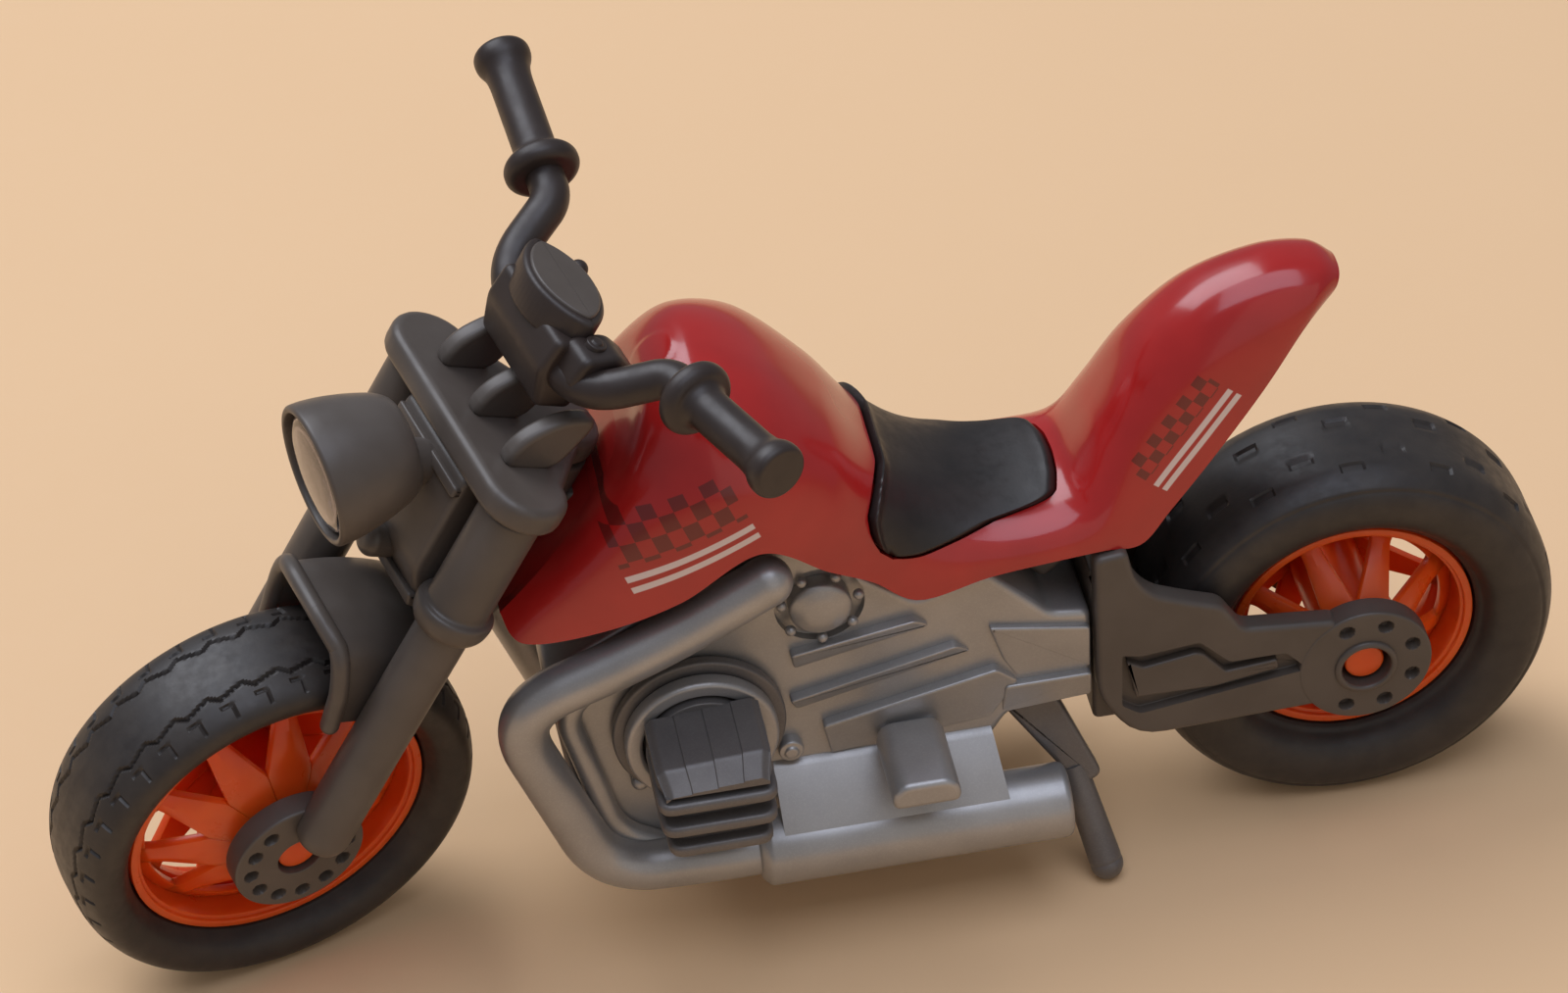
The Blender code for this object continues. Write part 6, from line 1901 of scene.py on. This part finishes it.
    def build(self) -> None:
        """Makes the arms, the bridge, the spar, the head tube and the stand."""
        arm = self.arm()
        for side in Side:
            make_piece(side.name_of("swing_arm_moulding"), [s.on(side) for s in arm], DARK, Body.CHASSIS,
                       [side.name_of("swing_arm")])
        inner, back = self.near - GAP, LAYOUT.arm_x - self.bridge_length - LAYOUT.middle_x
        (low, high), front = self.bridge_back, [LAYOUT.on_arm(1.0, up) for up in self.bridge_front]
        bridge = plate([(back, low), *front, (back, high)], -inner, inner, 0.5, 0.8)
        spar = plate([LAYOUT.at(*share) for share in self.spar], -self.spar_half, self.spar_half, 0.5, 0.8)
        make_piece("swing_bridge_moulding", [bridge], DARK, Body.CHASSIS, ["swing_bridge"])
        make_piece("rear_subframe_moulding", [spar], DARK, Body.CHASSIS, ["rear_subframe"])
        make_piece("steering_head_moulding", self.head(), DARK, Body.CHASSIS, ["steering_head"])
        make_piece("kickstand_moulding", self.stand(), GREY, Body.SIDE_STAND, ["kickstand"])


# Studio


@dataclass(frozen=True)
class Lamp:
    """A soft square lamp aimed at the toy."""

    name: str
    place: Place
    size: float
    watts: float
    colour: str
    target: Place = (0.0, 0.0, 0.035)

    def build(self) -> None:
        """Adds the lamp."""
        data = bpy.data.lights.new(self.name, "AREA")
        data.size, data.energy, data.color = self.size, self.watts, linear(self.colour)[:3]
        lamp = bpy.data.objects.new(self.name, data)
        matrix = aimed(self.place, np.array(self.place) - np.array(self.target))
        lamp.matrix_world = Matrix(matrix.tolist())
        bpy.context.scene.collection.objects.link(lamp)


@dataclass(frozen=True)
class Studio:
    """Pale floor, soft lamps and the camera at the photograph's angle."""

    azimuth: float = 172.775
    elevation: float = 40.222
    roll: float = -4.343
    distance: float = 0.5113
    target: Place = (0.00054, 0.0, 0.04567)
    focal_px: float = 5378.7
    frame_px: float = 1600.0
    sensor_mm: float = 36.0
    clip: Pair = (0.01, 20.0)
    floor_half: float = 3.0
    floor_cells: int = 8
    floor_colour: str = "#EFC79A"
    floor_drift: str = "#EEC699"
    room_colour: str = "#E9EEF6"
    room_strength: float = 0.27
    lamps: tuple[Lamp, ...] = (
        Lamp("window_lamp", (0.35, -0.45, 0.85), 0.7, 6.5, "#F1F5FF"),
        Lamp("ceiling_lamp", (-0.05, 0.22, 1.00), 0.8, 4.3, "#E3EBFF"),
        Lamp("fill_lamp", (-0.35, 0.80, 0.40), 0.9, 0.9, "#FFF1E2"),
    )

    def floor(self) -> None:
        """Adds the floor: a wide flat grid of matt paper, warm and pale, with a faint drift."""
        row = self.floor_cells + 1
        line = np.linspace(-self.floor_half, self.floor_half, row)
        x, y = np.meshgrid(line, line)
        points = np.stack([x, y, np.zeros_like(x)], axis=-1).reshape(-1, 3)
        cells = np.arange(self.floor_cells)
        corner = cells[:, None] * row + cells
        faces = np.stack([corner, corner + 1, corner + row + 1, corner + row], axis=-1).reshape(-1, 4)
        mesh = bpy.data.meshes.new("paper_floor")
        mesh.from_pydata(points.tolist(), [], faces.tolist())
        paper = Moulding("matt_pale_paper", "", self.floor_colour, self.floor_drift, (0.85, 0.95), 60.0, 0.8,
                         0.004)
        mesh.materials.append(paper.material())
        floor = bpy.data.objects.new("paper_floor", mesh)
        bpy.context.scene.collection.objects.link(floor)

    def camera(self) -> None:
        """Adds the camera: on a sphere about the target, rolled, with the fitted focal length."""
        azimuth, elevation, roll = (math.radians(v) for v in (self.azimuth, self.elevation, self.roll))
        back = np.array([math.sin(azimuth) * math.cos(elevation), -math.cos(azimuth) * math.cos(elevation),
                         math.sin(elevation)])
        right = np.cross([0.0, 0.0, 1.0], back)
        right = right / np.linalg.norm(right)
        up = np.cross(back, right)
        cosine, sine = math.cos(roll), math.sin(roll)
        matrix = np.eye(4)
        matrix[:3, :3] = np.stack([cosine * right + sine * up, cosine * up - sine * right, back], axis=1)
        matrix[:3, 3] = np.array(self.target) + back * self.distance
        data = bpy.data.cameras.new("photo_camera")
        data.sensor_width, data.sensor_fit = self.sensor_mm, "HORIZONTAL"
        data.lens = self.focal_px / self.frame_px * self.sensor_mm
        data.clip_start, data.clip_end = self.clip
        camera = bpy.data.objects.new("photo_camera", data)
        camera.matrix_world = Matrix(matrix.tolist())
        bpy.context.scene.collection.objects.link(camera)
        bpy.context.scene.camera = camera

    def build(self) -> None:
        """Sets the world's light and makes the floor, the lamps and the camera."""
        scene = bpy.context.scene
        scene.view_settings.view_transform = "Standard"
        world = bpy.data.worlds.new("soft_room")
        world.use_nodes = True
        sky = world.node_tree.nodes["Background"]
        sky.inputs["Color"].default_value = linear(self.room_colour)
        sky.inputs["Strength"].default_value = self.room_strength
        scene.world = world
        self.floor()
        for lamp in self.lamps:
            lamp.build()
        self.camera()


def main() -> None:
    """Builds the studio and every sub-assembly."""
    logging.basicConfig(level=logging.INFO, format="%(name)s: %(message)s")
    Studio().build()
    fork = Fork()
    rear_end = RearEnd()
    front_wheel = Wheel(
        "front", Body.FRONT_WHEEL, LAYOUT.fork() @ shift(fork.ahead, 0.0, 0.0), Tread.ZIGZAG,
        radius=21.26, half=6.2, rim_radius=15.5, windows=10, disc_y=fork.disc_face,
        section=((0.0, 0.62), (0.2, 0.88), (0.5, 1.0), (0.76, 0.92), (0.94, 0.60), (1.0, 0.20)))
    rear_wheel = Wheel(
        "rear", Body.REAR_WHEEL, shift(-LAYOUT.middle_x, 0.0, rear_end.axle_z), Tread.STEPPED,
        radius=20.98, half=7.7, rim_radius=12.6, windows=8, disc_y=rear_end.near,
        section=((0.0, 0.62), (0.2, 0.90), (0.5, 1.0), (0.78, 0.93), (0.95, 0.68), (1.0, 0.38)))
    steered = (fork, Headlight(fork), Handlebar(fork))
    for assembly in (front_wheel, rear_wheel, *steered, BodyShell(), Engine(), rear_end):
        assembly.build()


if __name__ == "__main__":
    main()
